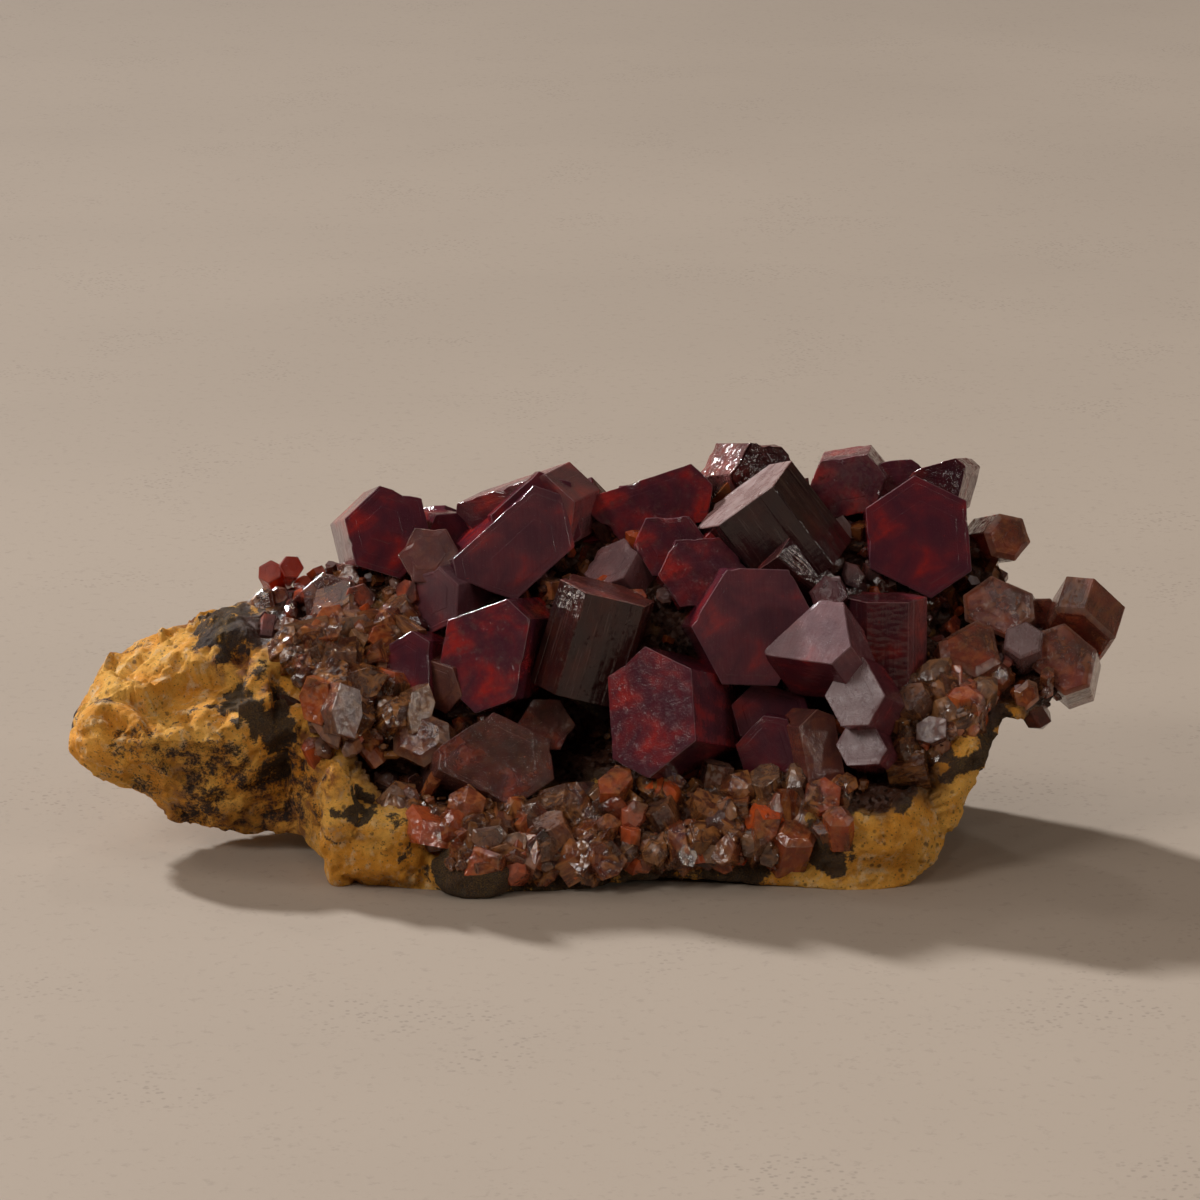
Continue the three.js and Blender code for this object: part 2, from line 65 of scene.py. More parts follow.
# Camera: millimetres in the tables' own coordinates, and the picture's size in pixels
CAMERA_RISE = 16.0
CAMERA_DISTANCE = 400.0
CAMERA_TARGET = (0.0, 0.0, 19.2)
LENS = 150.0
SENSOR = 36.0
PICTURE = 1200
FOCAL = PICTURE * LENS / SENSOR

# Fineness of the meshes
ROCK_VOXEL = 0.31       # size of the rock's cells
ROCK_CRISPNESS = 0.97   # how sharply the rock's slices turn at their points
ROCK_ALONG = 190        # samples along the rock
ROCK_AROUND = 170       # samples round the rock
RIB_WIDTH = 0.42        # width of one rib on a prism's side
BEVEL = 0.07            # width of a crystal's worn edges
# The worn edges are painted pale, as a highlight.
PAINTED_EDGE_HIGHLIGHT = 0.55       # how pale those edges are
FLAT_ENOUGH = 0.985     # how alike the directions round a spot are where the rock counts as flat
GROWTH_STEPS = 4        # growth steps on a crystal's end face
STEP_WIDTH = 0.012      # width of a growth step, as a share of the end face
POINTED = 0.5           # share of the small crystals that end in a blunt point

# The rock: slices along X, each a ring of eight (y, z) points in order
# toe, front, brow, top, shoulder, back, heel, sole.
SLICES = [
    (-42.3, [(-4.6, 8.0), (-5.0, 8.4), (-5.0, 8.9), (-4.0, 9.2),
        (-3.0, 9.2), (-2.6, 8.8), (-2.8, 8.2), (-3.8, 7.9)]),
    (-40.5, [(-6.0, 7.0), (-7.2, 8.4), (-7.2, 9.8), (-2.0, 12.0),
        (2.0, 12.8), (3.6, 10.2), (2.0, 7.6), (-3.0, 6.4)]),
    (-37.0, [(-5.5, 5.0), (-8.2, 7.8), (-9.0, 10.6), (-3.0, 14.2),
        (2.5, 16.0), (6.2, 12.4), (4.6, 7.4), (-1.5, 4.8)]),
    (-33.0, [(-5.5, 2.4), (-8.2, 7.0), (-9.4, 11.6), (-3.0, 15.4),
        (4.0, 17.4), (8.6, 13.4), (7.4, 6.6), (0.0, 2.8)]),
    (-28.5, [(-5.5, 1.6), (-8.0, 7.6), (-9.4, 13.0), (-2.5, 16.4),
        (5.0, 18.4), (10.6, 13.8), (9.4, 5.6), (1.0, 2.2)]),
    (-24.5, [(-6.5, 1.8), (-8.6, 7.8), (-8.8, 13.8), (-2.0, 16.8),
        (6.0, 18.8), (12.0, 14.0), (11.0, 5.0), (2.0, 2.4)]),
    (-20.0, [(-12.5, 0.2), (-12.0, 5.0), (-8.6, 11.0), (-2.5, 17.2),
        (6.5, 20.2), (13.6, 14.2), (12.2, 4.6), (0.0, 1.6)]),
    (-13.5, [(-15.0, -0.8), (-14.0, 3.4), (-8.8, 8.6), (-2.0, 17.6),
        (7.0, 22.0), (15.2, 14.6), (13.0, 1.6), (-1.0, 1.2)]),
    (-6.0, [(-15.4, -0.6), (-14.2, 2.8), (-8.4, 8.0), (-1.2, 18.4),
        (7.6, 23.4), (16.6, 15.0), (14.6, -0.6), (0.0, 1.2)]),
    (1.0, [(-14.8, 0.4), (-14.0, 3.0), (-8.0, 8.6), (-1.0, 18.8),
        (8.0, 24.4), (17.4, 15.4), (15.4, -0.8), (0.0, 1.4)]),
    (8.0, [(-14.2, 0.6), (-13.4, 3.4), (-7.6, 9.0), (-0.8, 19.2),
        (8.8, 25.4), (17.6, 15.4), (15.2, -0.8), (0.5, 1.4)]),
    (15.0, [(-14.4, 0.2), (-13.2, 4.0), (-7.6, 9.2), (-0.8, 19.0),
        (8.8, 25.8), (17.0, 15.2), (14.2, -0.2), (0.0, 1.2)]),
    (21.0, [(-15.2, -0.8), (-14.4, 4.0), (-8.8, 10.0), (-1.0, 18.4),
        (8.6, 25.4), (15.8, 14.8), (12.4, 2.2), (-1.0, 1.0)]),
    (25.5, [(-13.6, 1.0), (-13.4, 4.8), (-8.6, 11.0), (-1.0, 17.8),
        (7.8, 24.6), (14.0, 14.8), (10.6, 4.8), (-1.0, 2.4)]),
    (29.5, [(-9.8, 6.2), (-10.2, 8.8), (-7.4, 12.4), (-1.0, 16.8),
        (7.0, 22.2), (11.8, 14.4), (8.6, 8.2), (-1.0, 6.4)]),
    (33.6, [(-5.6, 10.8), (-6.2, 12.0), (-4.8, 13.4), (-1.0, 15.2),
        (5.0, 17.8), (8.0, 14.0), (5.8, 11.2), (0.0, 10.4)]),
    (37.2, [(-2.4, 12.8), (-2.8, 13.4), (-2.0, 14.2), (0.0, 14.6),
        (2.4, 14.6), (3.4, 13.8), (2.4, 12.9), (0.2, 12.5)]),
]

CRYSTALS = {
    "front_hexagon": {
        "hexagon": ((4, -11, 13.4), -30, 20, 15, (3.7, 4.3, 4.5, 3.7, 4.9, 4.3), 8.5),
    },
    "great_hexagon": {
        "hexagon": ((11.8, -7, 18.8), 8, 16, 26, (5.0, 4.8, 4.1, 4.0, 4.4, 4.2), 8.5),
        "bright_cap": ((16.4, -10.6, 19.4), -35, 45, 33, (3.1, 3.3, 2.1, 4.1, 2.3, 3.6), 6),
        "lower_dark": ((13.6, -7.6, 12.0), 12, 28, 10, (3.0, 2.2, 2.8, 3.0, 2.4, 2.8), 6),
        "foot_red": ((13.2, -10, 9.6), -10, 12, 20, (2.3, 2.9, 2.3, 2.3, 2.9, 2.3), 6),
    },
    "dark_prism": {
        "prism": ((0.6, -4.5, 21.3), 104, 73, 0, (3.2, 3.5, 3.5, 2.7, 3.5, 3.5), 8.6),
        "stick": ((-3.4, -7.0, 14.8), -60, 38, 30, 0.8, 5.6),
    },
    "left_hexagon": {
        "hexagon": ((-9.1, -7, 16.7), -20, 14, 54, (4.6, 3.6, 3.6, 4.0, 4.1, 3.2), 8.5),
        "side": ((-15.3, -6, 15.3), -20, 16, 5, (1.9, 2.8, 2.4, 1.9, 2.5, 2.9), 7),
        "brown": ((-12.9, -6.2, 13.8), -30, 0, 20, 2.0, 6),
    },
    "tilted": {
        "striated": ((11.5, 2, 27.4), -90, 53, 0, (3.5, 4.1, 4.1, 3.4, 4.1, 4.1), 8.2),
        "thin": ((13.6, -0.6, 23.6), -78, 44, 30, 1.9, 9),
    },
    "centre_crown": {
        "leaning_hexagon": ((-6.8, 0, 23.8), 14, 15, 8, (4.8, 5.0, 2.5, 5.2, 4.2, 3.4), 8),
        "lit_slab": ((-6.7, 3.6, 25.6), -26, 0, 53, (4.2, 2.1, 5.4, 4.0, 4.0, 5.0), 4.5),
        "thin_plate": ((-5.2, 1.6, 25.0), 14, 15, 8, (3.6, 4.2, 3.0, 3.4, 3.4, 3.2), 1.2),
    },
    "left_crown": {
        "hexagon": ((-16.9, 3, 24.4), 12, 18, 10, (3.1, 3.0, 3.0, 3.4, 3.7, 3.6), 8),
        "low_brown": ((-13.6, 0, 22.9), -5, 25, 30, 2.2, 6),
        "dark_peak": ((-12.2, 6, 23.0), 20, 10, 30, 1.7, 5),
        "grey_sided": ((-13.2, -1.5, 19.6), -35, 5, 0, (2.3, 2.6, 2.3, 2.3, 2.6, 2.3), 7),
    },
    "right_crown": {
        "hexagon": ((25.4, 1, 24.2), 0, 18, 4, (4.1, 4.3, 4.2, 4.0, 4.0, 4.7), 8),
    },
    "pale_twins": {
        "upper": ((19.5, -12.4, 14.9), -26, 26, 40, (2.5, 3.3, 2.0, 1.8, 2.3, 2.5), 7),
        "lower": ((20.5, -12.8, 11.0), -26, 26, 40, (1.6, 1.9, 2.1, 1.9, 1.5, 1.9), 6),
        "brown": ((17.4, -11.6, 10.2), 24, 14, 5, (1.6, 3.0, 2.8, 1.6, 3.0, 2.8), 6),
    },
    "striated_prism": {
        "prism": ((22.6, -4, 20.6), 180, 82, 30, 2.9, 9),
        "small": ((18.0, -4.6, 21.0), -20, 40, 30, (1.4, 1.7, 1.4, 1.4, 1.7, 1.4), 6),
    },
    "middle": {
        "long_slab": ((3.2, 5, 25.7), 4, 18, 47, (5.3, 1.9, 4.3, 3.2, 2.8, 5.6), 6),
        "upper": ((5.4, 0.8, 23.4), -2, 18, 34, (2.9, 2.4, 2.6, 2.3, 2.3, 2.5), 6),
        "lower": ((8.2, -1.6, 21.6), 4, 24, 33, (3.3, 3.1, 3.3, 2.9, 2.3, 2.9), 6),
        "side": ((10.6, 0.2, 23.6), 8, 18, 25, 2.3, 6),
        "grey_corner": ((0.8, 1, 22.0), -50, 48, 10, 2.2, 5),
    },
    "front_left": {
        "rough_hexagon": ((-7.9, -11, 9.3), 20, 34, 56, (3.5, 3.5, 5.0, 3.0, 3.7, 4.3), 7),
        "gold_brown": ((-14.3, -10, 11.0), -15, 30, 12, (2.4, 1.9, 2.4, 2.2, 2.0, 2.2), 6),
        "dark": ((-4.2, -7, 11.0), 10, 24, 25, 2.0, 6),
    },
    "right_end": {
        "end_hexagon": ((38.2, -1, 16.4), -22, -36, 32, (2.7, 3.4, 2.7, 3.0, 3.4, 2.7), 3.4),
        "brown_face": ((36.9, -4, 15.5), -10, 28, 52, (2.2, 2.8, 2.4, 2.2, 2.8, 2.4), 6),
        "upper_hexagon": ((31.9, -1, 18.9), -14, 28, 10, (2.7, 2.1, 2.6, 2.9, 2.1, 2.4), 6),
        "small_dark": ((35.6, 1.4, 17.8), 0, 20, 30, 1.1, 4),
        "pale_corner": ((33.6, -3.6, 17.0), -14, 46, 0, 1.5, 5),
    },
    "right_brown": {
        "hexagon": ((29.5, -5, 16.8), 16, 50, 55, (2.9, 2.0, 2.6, 2.3, 2.2, 2.2), 7),
    },
    "right_knob": {
        "hexagon": ((32.8, 3, 23.6), 14, 18, 15, 1.75, 7),
    },
    "rough_black": {
        "hexagon": ((13.4, 8, 27.2), 26, 14, 20, 2.8, 6),
    },
    "crest": {
        "brown_topped": ((20.0, 6, 27.4), -6, 6, 40, (2.7, 2.0, 2.7, 2.8, 2.8, 2.8), 5.5),
        "sugared": ((24.2, 7.4, 27.0), 10, 18, 35, (2.2, 1.8, 2.2, 2.4, 2.4, 2.4), 6),
        "wedge": ((27.2, 6.4, 27.2), -16, 14, 50, (2.6, 1.5, 2.4, 2.4, 2.4, 2.0), 6),
    },
    "orange_pair": {
        "left": ((-26.8, 6, 19.9), -16, 44, 8, 0.95, 4.6),
        "right": ((-25.0, 6, 20.3), 18, 30, 20, 0.9, 4.6),
    },
    "left_edge": {
        "purple": ((-21.9, 1.6, 18.9), -8, 26, 14, 1.9, 5),
        "glassy": ((-24.0, -0.4, 16.6), -20, 38, 40, 1.5, 5),
    },
    "left_notch": {
        "low": ((-19.4, -2.6, 15.6), -24, 20, 22, 1.7, 5),
    },
    "back_middle": {
        "large": ((-2.6, 12.6, 23.4), 188, 32, 20, (3.9, 3.4, 3.7, 3.5, 3.8, 3.6), 7),
        "steep": ((4.8, 13.6, 23.8), 160, 50, 5, (3.0, 3.3, 3.0, 2.8, 3.2, 3.0), 7),
        "low": ((2.2, 17.6, 17.8), 176, 16, 34, 2.7, 7),
    },
    "back_left": {
        "broad": ((-13.2, 12.2, 21.6), 168, 28, 12, (3.2, 2.8, 3.1, 2.9, 3.0, 3.3), 7),
        "small": ((-17.2, 11.4, 19.8), 200, 34, 30, 2.0, 6),
    },
    "back_right": {
        "broad": ((14.8, 14.2, 22.6), 174, 26, 48, (3.6, 3.2, 3.4, 3.7, 3.2, 3.4), 9),
        "tall": ((21.4, 12.0, 23.0), 150, 46, 16, 2.8, 8),
        "end": ((28.8, 10.6, 20.4), 132, 22, 26, (2.6, 2.3, 2.6, 2.4, 2.5, 2.6), 7),
    },
    "back_low_left": {
        "hexagon": ((-9.4, 15.2, 18.2), 176, 20, 42, (2.2, 2.6, 2.2, 2.4, 2.2, 2.2), 7),
    },
    "back_low_right": {
        "hexagon": ((10.2, 18.4, 16.6), 184, 10, 8, 2.1, 6),
    },
}

# Relief of the rock, in millimetres
ROCK_ROUGHNESS = 0.35   # how far it swells
ROCK_LUMP = 6.0         # over what length it swells
ROCK_LIFT = 0.2         # how far its skin stands out of the plain form
GRAIN_DEPTH = 0.16
HOLE_DEPTH = 0.25
CRUMB_HEIGHT = 0.09

# Broken facets of the rock: width, lean and a seed.
FACETS = ((3.4, 0.08, 3), (1.4, 0.12, 8))

# Lumps joined to the rock: middle, size, seed, roughness, turn.
LUMPS = {
    "upright_rib": ((-20.4, -13.0, 5.0), (1.4, 2.0, 6.0), 4),
    "left_foot": ((-16.6, -12.4, 2.6), (4.2, 3.6, 3.6), 5, 0.2),
    "dark_foot": ((-9.6, -14.4, 1.0), (4.4, 2.8, 2.0), 6, 0.32),
    "right_lobe": ((21.0, -11.2, 3.8), (5.6, 4.6, 4.8), 8, 0.16),
    "right_shelf": ((27.4, -8.6, 9.2), (2.6, 3.0, 3.4), 9, 0.16, 15),
    "wedge_boss": ((-37.6, -5.2, 10.6), (3.0, 3.2, 1.8), 11, 0.2),
    "wedge_ledge": ((-29.4, -3.4, 4.2), (4.6, 3.4, 2.4), 12, 0.2),
    "back_knob": ((12.0, 15.4, 9.0), (5.4, 3.4, 5.0), 14, 0.2),
    "back_ledge": ((-10.0, 14.2, 5.4), (6.4, 3.0, 3.6), 15, 0.2),
}

# Broken faces of the rock: how many, how wide, how deep, and a seed.
CHISELS = [(46, 9.0, 0.7, 5), (160, 4.0, 0.35, 6), (420, 1.8, 0.18, 7)]

# Pits, and crusty patches below 0, on the display side: x, y and radius in pixels of the picture, and depth
# in millimetres.
PITS = [
    (114, 727, 11, 1.1), (148, 712, 9, 0.9), (133, 735, 5, 0.5), (352, 770, 8, 0.8), (246, 660, 10, 0.7),
    (176, 690, 6, 0.5), (285, 770, 12, 0.7), (262, 792, 9, 0.6), (440, 850, 9, 0.7), (405, 868, 6, 0.5),
    (880, 838, 6, 0.4), (918, 858, 5, 0.4), (232, 640, 22, -0.7), (218, 655, 9, -0.5), (160, 632, 7, -0.6),
    (585, 728, 30, 1.5), (368, 718, 22, 1.5),
]

# Dark stains and rust on the display side: x, y and radius in pixels of the picture, and strength. Some
# of the dark spots are painted shade: those in the hollows at (585, 730) and (368, 722), and those on the
# wedge's underside at (150, 762), (175, 775), (215, 790), (220, 780) and (285, 790). The rust spots on that
# underside are painted shade as well.
STAINS_AND_SHADE = [
    (232, 640, 26, 0.8), (285, 615, 34, 0.9), (245, 605, 14, 0.8), (262, 715, 34, 0.9), (222, 712, 20, 0.7),
    (300, 745, 28, 0.9), (160, 715, 12, 0.5), (120, 726, 10, 0.6), (185, 700, 10, 0.5), (430, 740, 30, 0.8),
    (470, 878, 40, 0.9), (560, 885, 50, 0.9), (650, 885, 50, 0.9), (740, 880, 50, 0.9), (810, 850, 30, 0.9),
    (850, 812, 26, 0.9), (890, 782, 28, 1.0), (930, 765, 28, 1.0), (965, 745, 28, 1.0), (990, 715, 24, 1.0),
    (990, 780, 12, 0.5), (1015, 745, 10, 0.6), (395, 830, 14, 0.6), (440, 800, 20, 0.8), (330, 830, 12, 0.5),
    (585, 730, 48, 1.2), (600, 768, 30, 1.2), (470, 885, 50, 1.3), (370, 790, 16, 0.9), (368, 722, 34, 1.2),
    (325, 650, 30, 1.0), (175, 775, 12, 0.5), (215, 790, 16, 0.55),
    (150, 762, 40, 0.42), (220, 780, 50, 0.45), (285, 790, 40, 0.48), (622, 775, 34, 1.2),
    (690, 795, 26, 1.0), (500, 800, 40, 1.0), (760, 810, 40, 1.0),
]
RUST_AND_SHADE = [
    (240, 660, 34, 0.9), (200, 790, 40, 0.7), (290, 790, 40, 0.9), (320, 760, 30, 0.9), (150, 760, 24, 0.4),
    (300, 820, 30, 0.8), (980, 700, 26, 0.7), (360, 820, 20, 0.4), (240, 800, 30, 0.8),
]

# Places that small crystals leave bare: x, y and radius in pixels of the picture.
BARE = [
    (350, 800, 50), (395, 845, 45), (370, 870, 45), (440, 868, 34), (850, 868, 40), (890, 862, 44),
    (930, 835, 44), (960, 800, 36), (815, 848, 18), (850, 815, 20), (885, 788, 20), (920, 772, 20),
    (955, 756, 18), (985, 730, 20), (1015, 745, 22), (1005, 708, 14), (585, 728, 26), (367, 720, 20),
    (250, 690, 50), (290, 700, 30),
]

# How many small crystals stand in the hollows between the large ones.
FILLERS = 420

# The sheet of crust under small crystals, in millimetres
SPECIMEN = 84           # the specimen's length, about the way round it too
CRUST_CELL = 0.45       # size of the sheet's cells
CRUST_EDGE = -1.2       # height over the smooth rock at the sheet's edges
CRUST_RISE = 2.1        # how much higher it is in the middle
CRUST_ROUGHNESS = 0.45
CRUST_DEPTH = 1.6       # how deep it goes below the smooth rock
BARE_DROP = 2.6         # how far it sinks in bare places

# Crusts of small crystals: ranges along and round the rock, how brown, and a seed.
DRUSES = {
    "front_druse": dict(along=(0.40, 0.75), around=(0.065, 0.205), brown=0.85, share=1.0, seed=21),
    "left_druse": dict(along=(0.30, 0.43), around=(0.23, 0.38), brown=0.85, share=0.55, seed=22),
    "right_druse": dict(along=(0.75, 0.89), around=(0.19, 0.34), brown=0.9, share=0.5, seed=23),
}

# The sizes of a crust's crystals: how many, smallest and largest radius, and how far they lean.
DRUSE_SIZES = [(110, 1.0, 2.0, 0.8), (330, 0.5, 1.0, 1.0), (550, 0.22, 0.5, 1.0), (800, 0.10, 0.22, 1.0)]

# Crystals of a crust that the picture shows one by one: x and y in pixels of the picture, radius in
# millimetres, turn, rise, then brown, glow and dust from 0 to 1, and how strongly a pale sheen is painted on
# it, from 0 to 1. Below 0, that last number is blackness.
FEATURES = {
    "front_druse": [
        (414, 733, 2.0, -20, 35, 1.0, 0.2, 0.6, 0.2), (440, 762, 1.1, -35, 15, 0.4, 0.5, 0.1, 0.1),
        (458, 786, 0.9, 20, 10, 0.4, 0.4, 0.1, 0.1), (392, 776, 1.2, -30, 30, 0.5, 0.2, 0.5, 0.6),
        (425, 785, 1.2, 15, 20, 0.4, 0.1, 0.1, 0.15), (456, 810, 0.8, -40, 30, 0.6, 0.0, 0.0, 0.7),
        (482, 838, 1.5, -25, -15, 0.7, 0.1, 0.0, 0.5), (508, 832, 1.1, 35, 0, 0.8, 0.1, 0.0, 0.3),
        (550, 840, 1.7, -10, 25, 0.3, 0.0, 1.0, -0.7), (532, 797, 2.0, 30, 20, 0.5, 0.1, 0.2, 0.1),
        (575, 782, 1.7, -25, 50, 0.3, 0.0, 0.1, 0.3), (611, 782, 0.9, -59, 50, 0.3, 0.0, 0.2, 1.0),
        (620, 812, 1.6, -10, 25, 0.8, 0.1, 0.8, 0.2), (649, 803, 1.2, 5, 10, 0.4, 0.8, 0.1, 0.0),
        (676, 800, 1.0, 40, 10, 0.3, 0.0, 0.0, 1.0), (664, 834, 0.6, -59, 50, 0.3, 0.0, 0.1, 1.0),
        (704, 818, 1.5, 10, 30, 0.9, 0.4, 0.6, 0.1), (745, 850, 1.0, 0, 15, 0.2, 1.0, 0.0, 0.0),
        (600, 850, 1.2, 25, 5, 0.8, 0.3, 0.3, 0.1), (720, 868, 0.9, -20, -10, 0.8, 0.5, 0.2, 0.0),
        (792, 826, 1.5, 30, 25, 0.9, 0.4, 0.6, 0.1), (832, 812, 1.2, 20, 40, 0.9, 0.5, 0.6, 0.1),
        (762, 796, 1.4, -15, 35, 0.9, 0.5, 0.6, 0.1), (688, 762, 1.3, -10, 45, 0.1, 1.0, 0.5, 0.2),
        (640, 868, 0.9, 10, -10, 0.8, 0.4, 0.2, 0.1), (520, 862, 0.9, -20, -5, 0.7, 0.3, 0.2, 0.0),
        (450, 858, 0.6, -25, 0, 0.9, 0.1, 0.8, 0.0), (468, 852, 0.8, 15, -5, 0.9, 0.1, 0.8, 0.0),
        (486, 858, 0.7, -10, 0, 0.9, 0.2, 0.8, 0.0), (503, 858, 0.8, 30, -5, 0.8, 0.3, 0.6, 0.0),
        (461, 863, 0.5, 10, -10, 0.8, 0.1, 0.8, 0.0), (478, 864, 0.5, -30, -10, 0.9, 0.2, 0.8, 0.0),
    ],
    "left_druse": [
        (262, 598, 1.1, -20, 40, 0.7, 0.1, 0.0, -0.3), (279, 590, 0.9, 10, 30, 0.7, 0.5, 0.0, 0.0),
        (301, 624, 0.9, -20, 20, 0.2, 1.0, 0.0, 0.0), (328, 597, 2.0, -15, 25, 0.5, 0.1, 0.1, 0.1),
        (357, 597, 1.2, 10, 30, 0.2, 1.0, 0.6, 0.3), (314, 578, 0.8, -30, 60, 0.6, 0.2, 0.5, 0.8),
        (345, 572, 1.1, -30, 60, 0.7, 0.2, 0.5, 0.8), (390, 598, 1.4, -56, 46, 1.0, 0.2, 1.0, 0.4),
        (384, 610, 0.9, -60, 52, 1.0, 0.2, 1.0, 0.4), (398, 612, 0.8, -52, 44, 1.0, 0.1, 1.0, 0.4),
        (376, 638, 0.9, -58, 50, 1.0, 0.1, 1.0, 0.4), (368, 662, 0.8, -60, 46, 1.0, 0.1, 1.0, 0.4),
        (388, 585, 0.8, -56, 52, 1.0, 0.2, 1.0, 0.4), (381, 624, 1.5, -60, 50, 1.0, 0.2, 1.0, 0.4),
        (372, 650, 1.3, -56, 48, 1.0, 0.1, 1.0, 0.4), (362, 674, 1.1, -58, 46, 1.0, 0.1, 1.0, 0.3),
        (416, 588, 1.3, -50, 30, 0.3, 0.7, 0.6, 0.7), (417, 607, 0.5, -20, 20, 0.0, 1.0, 0.0, 0.0),
        (408, 618, 0.9, -50, 30, 0.6, 0.3, 0.5, 0.6), (345, 662, 1.2, 0, 20, 0.8, 0.1, 0.1, 0.1),
        (379, 682, 1.2, 15, 10, 0.8, 0.1, 0.1, 0.2), (333, 708, 1.1, -60, 30, 0.6, 0.1, 0.1, 0.5),
        (324, 703, 0.4, -50, 40, 0.2, 0.0, 0.0, 1.0), (306, 738, 0.8, -30, 30, 0.4, 0.7, 0.1, 0.2),
        (326, 744, 0.9, 10, 30, 0.6, 0.1, 0.2, 0.5),
    ],
    "right_druse": [
        (903, 698, 1.1, 10, 70, 0.9, 0.2, 0.2, 0.5), (925, 694, 1.0, 35, 75, 0.9, 0.3, 0.2, 0.4),
        (946, 690, 1.0, 15, 65, 0.9, 0.3, 0.2, 0.5), (916, 728, 0.9, -5, 40, 0.9, 0.3, 0.3, 0.4),
        (940, 728, 0.9, 40, 55, 0.9, 0.2, 0.2, 0.4), (962, 712, 0.9, 30, 60, 0.8, 0.4, 0.2, 0.3),
        (1000, 676, 1.4, 10, 30, 0.8, 0.3, 0.3, 0.2), (1026, 690, 1.2, 25, 0, 0.9, 0.4, 0.2, 0.1),
        (1046, 664, 1.2, -10, 20, 0.7, 0.3, 0.1, 0.3), (984, 692, 1.0, -20, 10, 0.9, 0.5, 0.3, 0.1),
    ],
}

BROWN_GROUPS = ("left_edge", "left_notch", "right_end", "right_brown", "right_knob", "front_left")

# How each crystal looks: brown, glow and dust from 0 to 1, ribs, relief and wobble in millimetres, how many
# chips, how strongly a pale sheen is painted on the end face and on each of the six sides, from 0 to 1, and
# black below 0, and how far the prism narrows to its end face, as a share of its width.
PLAIN_LOOK = dict(
    brown=0.05, glow=0.1, dust=0.06, ribs=0.02, relief=0.03, wobble=0.012, chips=3, cap=0.05, sides=0.0,
    taper=0.0)
LOOKS = {
    "front_hexagon": dict(
        glow=0.45, dust=0.1, relief=0.0, cap=0.06, sides=(0.1, -0.3, 0.0, 0.0, 0.0, -0.4)),
    "great_hexagon.hexagon": dict(dust=0.12, relief=0.015, cap=0.2),
    "great_hexagon.bright_cap": dict(
        brown=0.1, dust=0.1, relief=0.0, ribs=0.03, cap=0.5, sides=(0.35, 0.1, 0.0, 0.0, -0.1, 0.35)),
    "dark_prism": dict(
        brown=0.5, ribs=0.07, relief=0.04, dust=0.3, cap=0.1, sides=(-0.8, -1.0, -0.7, -0.8, -0.6, -1.0)),
    "left_hexagon.hexagon": dict(glow=0.5, dust=0.25, relief=0.0),
    "left_hexagon.brown": dict(brown=0.7, cap=0.2),
    "tilted": dict(brown=0.35, ribs=0.07, relief=0.02, cap=1.0, sides=(-0.8, -0.8, -0.3, 0.0, -0.6, -0.9)),
    "tilted.thin": dict(cap=0.1, sides=-0.6),
    "centre_crown.leaning_hexagon": dict(ribs=0.03, cap=0.2),
    "centre_crown.lit_slab": dict(brown=0.2, glow=0.3, sides=(0.3, 0.55, 0.5, 0.5, 0.3, 0.3)),
    "left_crown.hexagon": dict(glow=0.3),
    "left_crown.low_brown": dict(brown=0.5, cap=0.15),
    "left_crown.grey_sided": dict(cap=0.25, sides=0.35),
    "right_crown": dict(cap=0.04, glow=0.15),
    "pale_twins": dict(brown=0.1, dust=0.1, cap=1.0, sides=0.1),
    "pale_twins.brown": dict(brown=0.7, cap=0.15),
    "striated_prism": dict(ribs=0.08, brown=0.2, cap=-0.2, sides=(-0.5, -0.3, 0.2, 0.4, 0.1, -0.4)),
    "middle": dict(glow=0.45, dust=0.3, relief=0.04, wobble=0.03, chips=6),
    "middle.grey_corner": dict(brown=0.2, dust=0.0, cap=0.75, sides=0.6),
    "front_left": dict(
        brown=0.25, glow=0.15, dust=0.4, wobble=0.05, relief=0.04, chips=6, cap=0.05, sides=0.2),
    "front_left.gold_brown": dict(brown=1.0, dust=0.3, cap=0.0, sides=0.3, taper=0.3),
    "right_end": dict(brown=0.7, dust=0.3, glow=0.3, sides=0.25, taper=0.1),
    "right_end.pale_corner": dict(brown=0.2, cap=1.0, sides=0.7, dust=0.0),
    "right_brown": dict(brown=0.8, glow=0.4, dust=0.5, cap=0.05, sides=0.2, taper=0.22, wobble=0.05),
    "right_knob": dict(brown=0.8, glow=0.3, dust=0.3, cap=0.1, taper=0.2),
    "rough_black": dict(
        brown=0.3, dust=0.9, wobble=0.16, relief=0.12, ribs=0.08, chips=8, cap=-0.6, sides=0.3),
    "crest": dict(glow=0.35, dust=0.5, wobble=0.06, chips=5),
    "crest.brown_topped": dict(cap=0.1, sides=0.35),
    "crest.wedge": dict(cap=-0.5, sides=0.1),
    "left_edge": dict(brown=0.5),
    "left_notch": dict(brown=0.4, glow=0.3, chips=1),
}

# Light: the way to the sun, its strength, and its width in degrees
KEY_FROM = (-1.09, 1.12, 1.0)
KEY_STRENGTH = 3.6
KEY_ANGLE = 4.0

# The room's light by direction: dim and warm in front, then fades along an axis, which is 0 for X, 1 for Y
# and 2 for Z, from and to a height on it, to a colour.
ROOM_STRENGTH = 0.50
ROOM_FRONT = (0.040, 0.026, 0.018)
ROOM_FADES = [
    (1, -0.2, 0.7, (0.32, 0.21, 0.13)),
    (2, 0.30, 0.75, (0.27, 0.195, 0.15)),
]

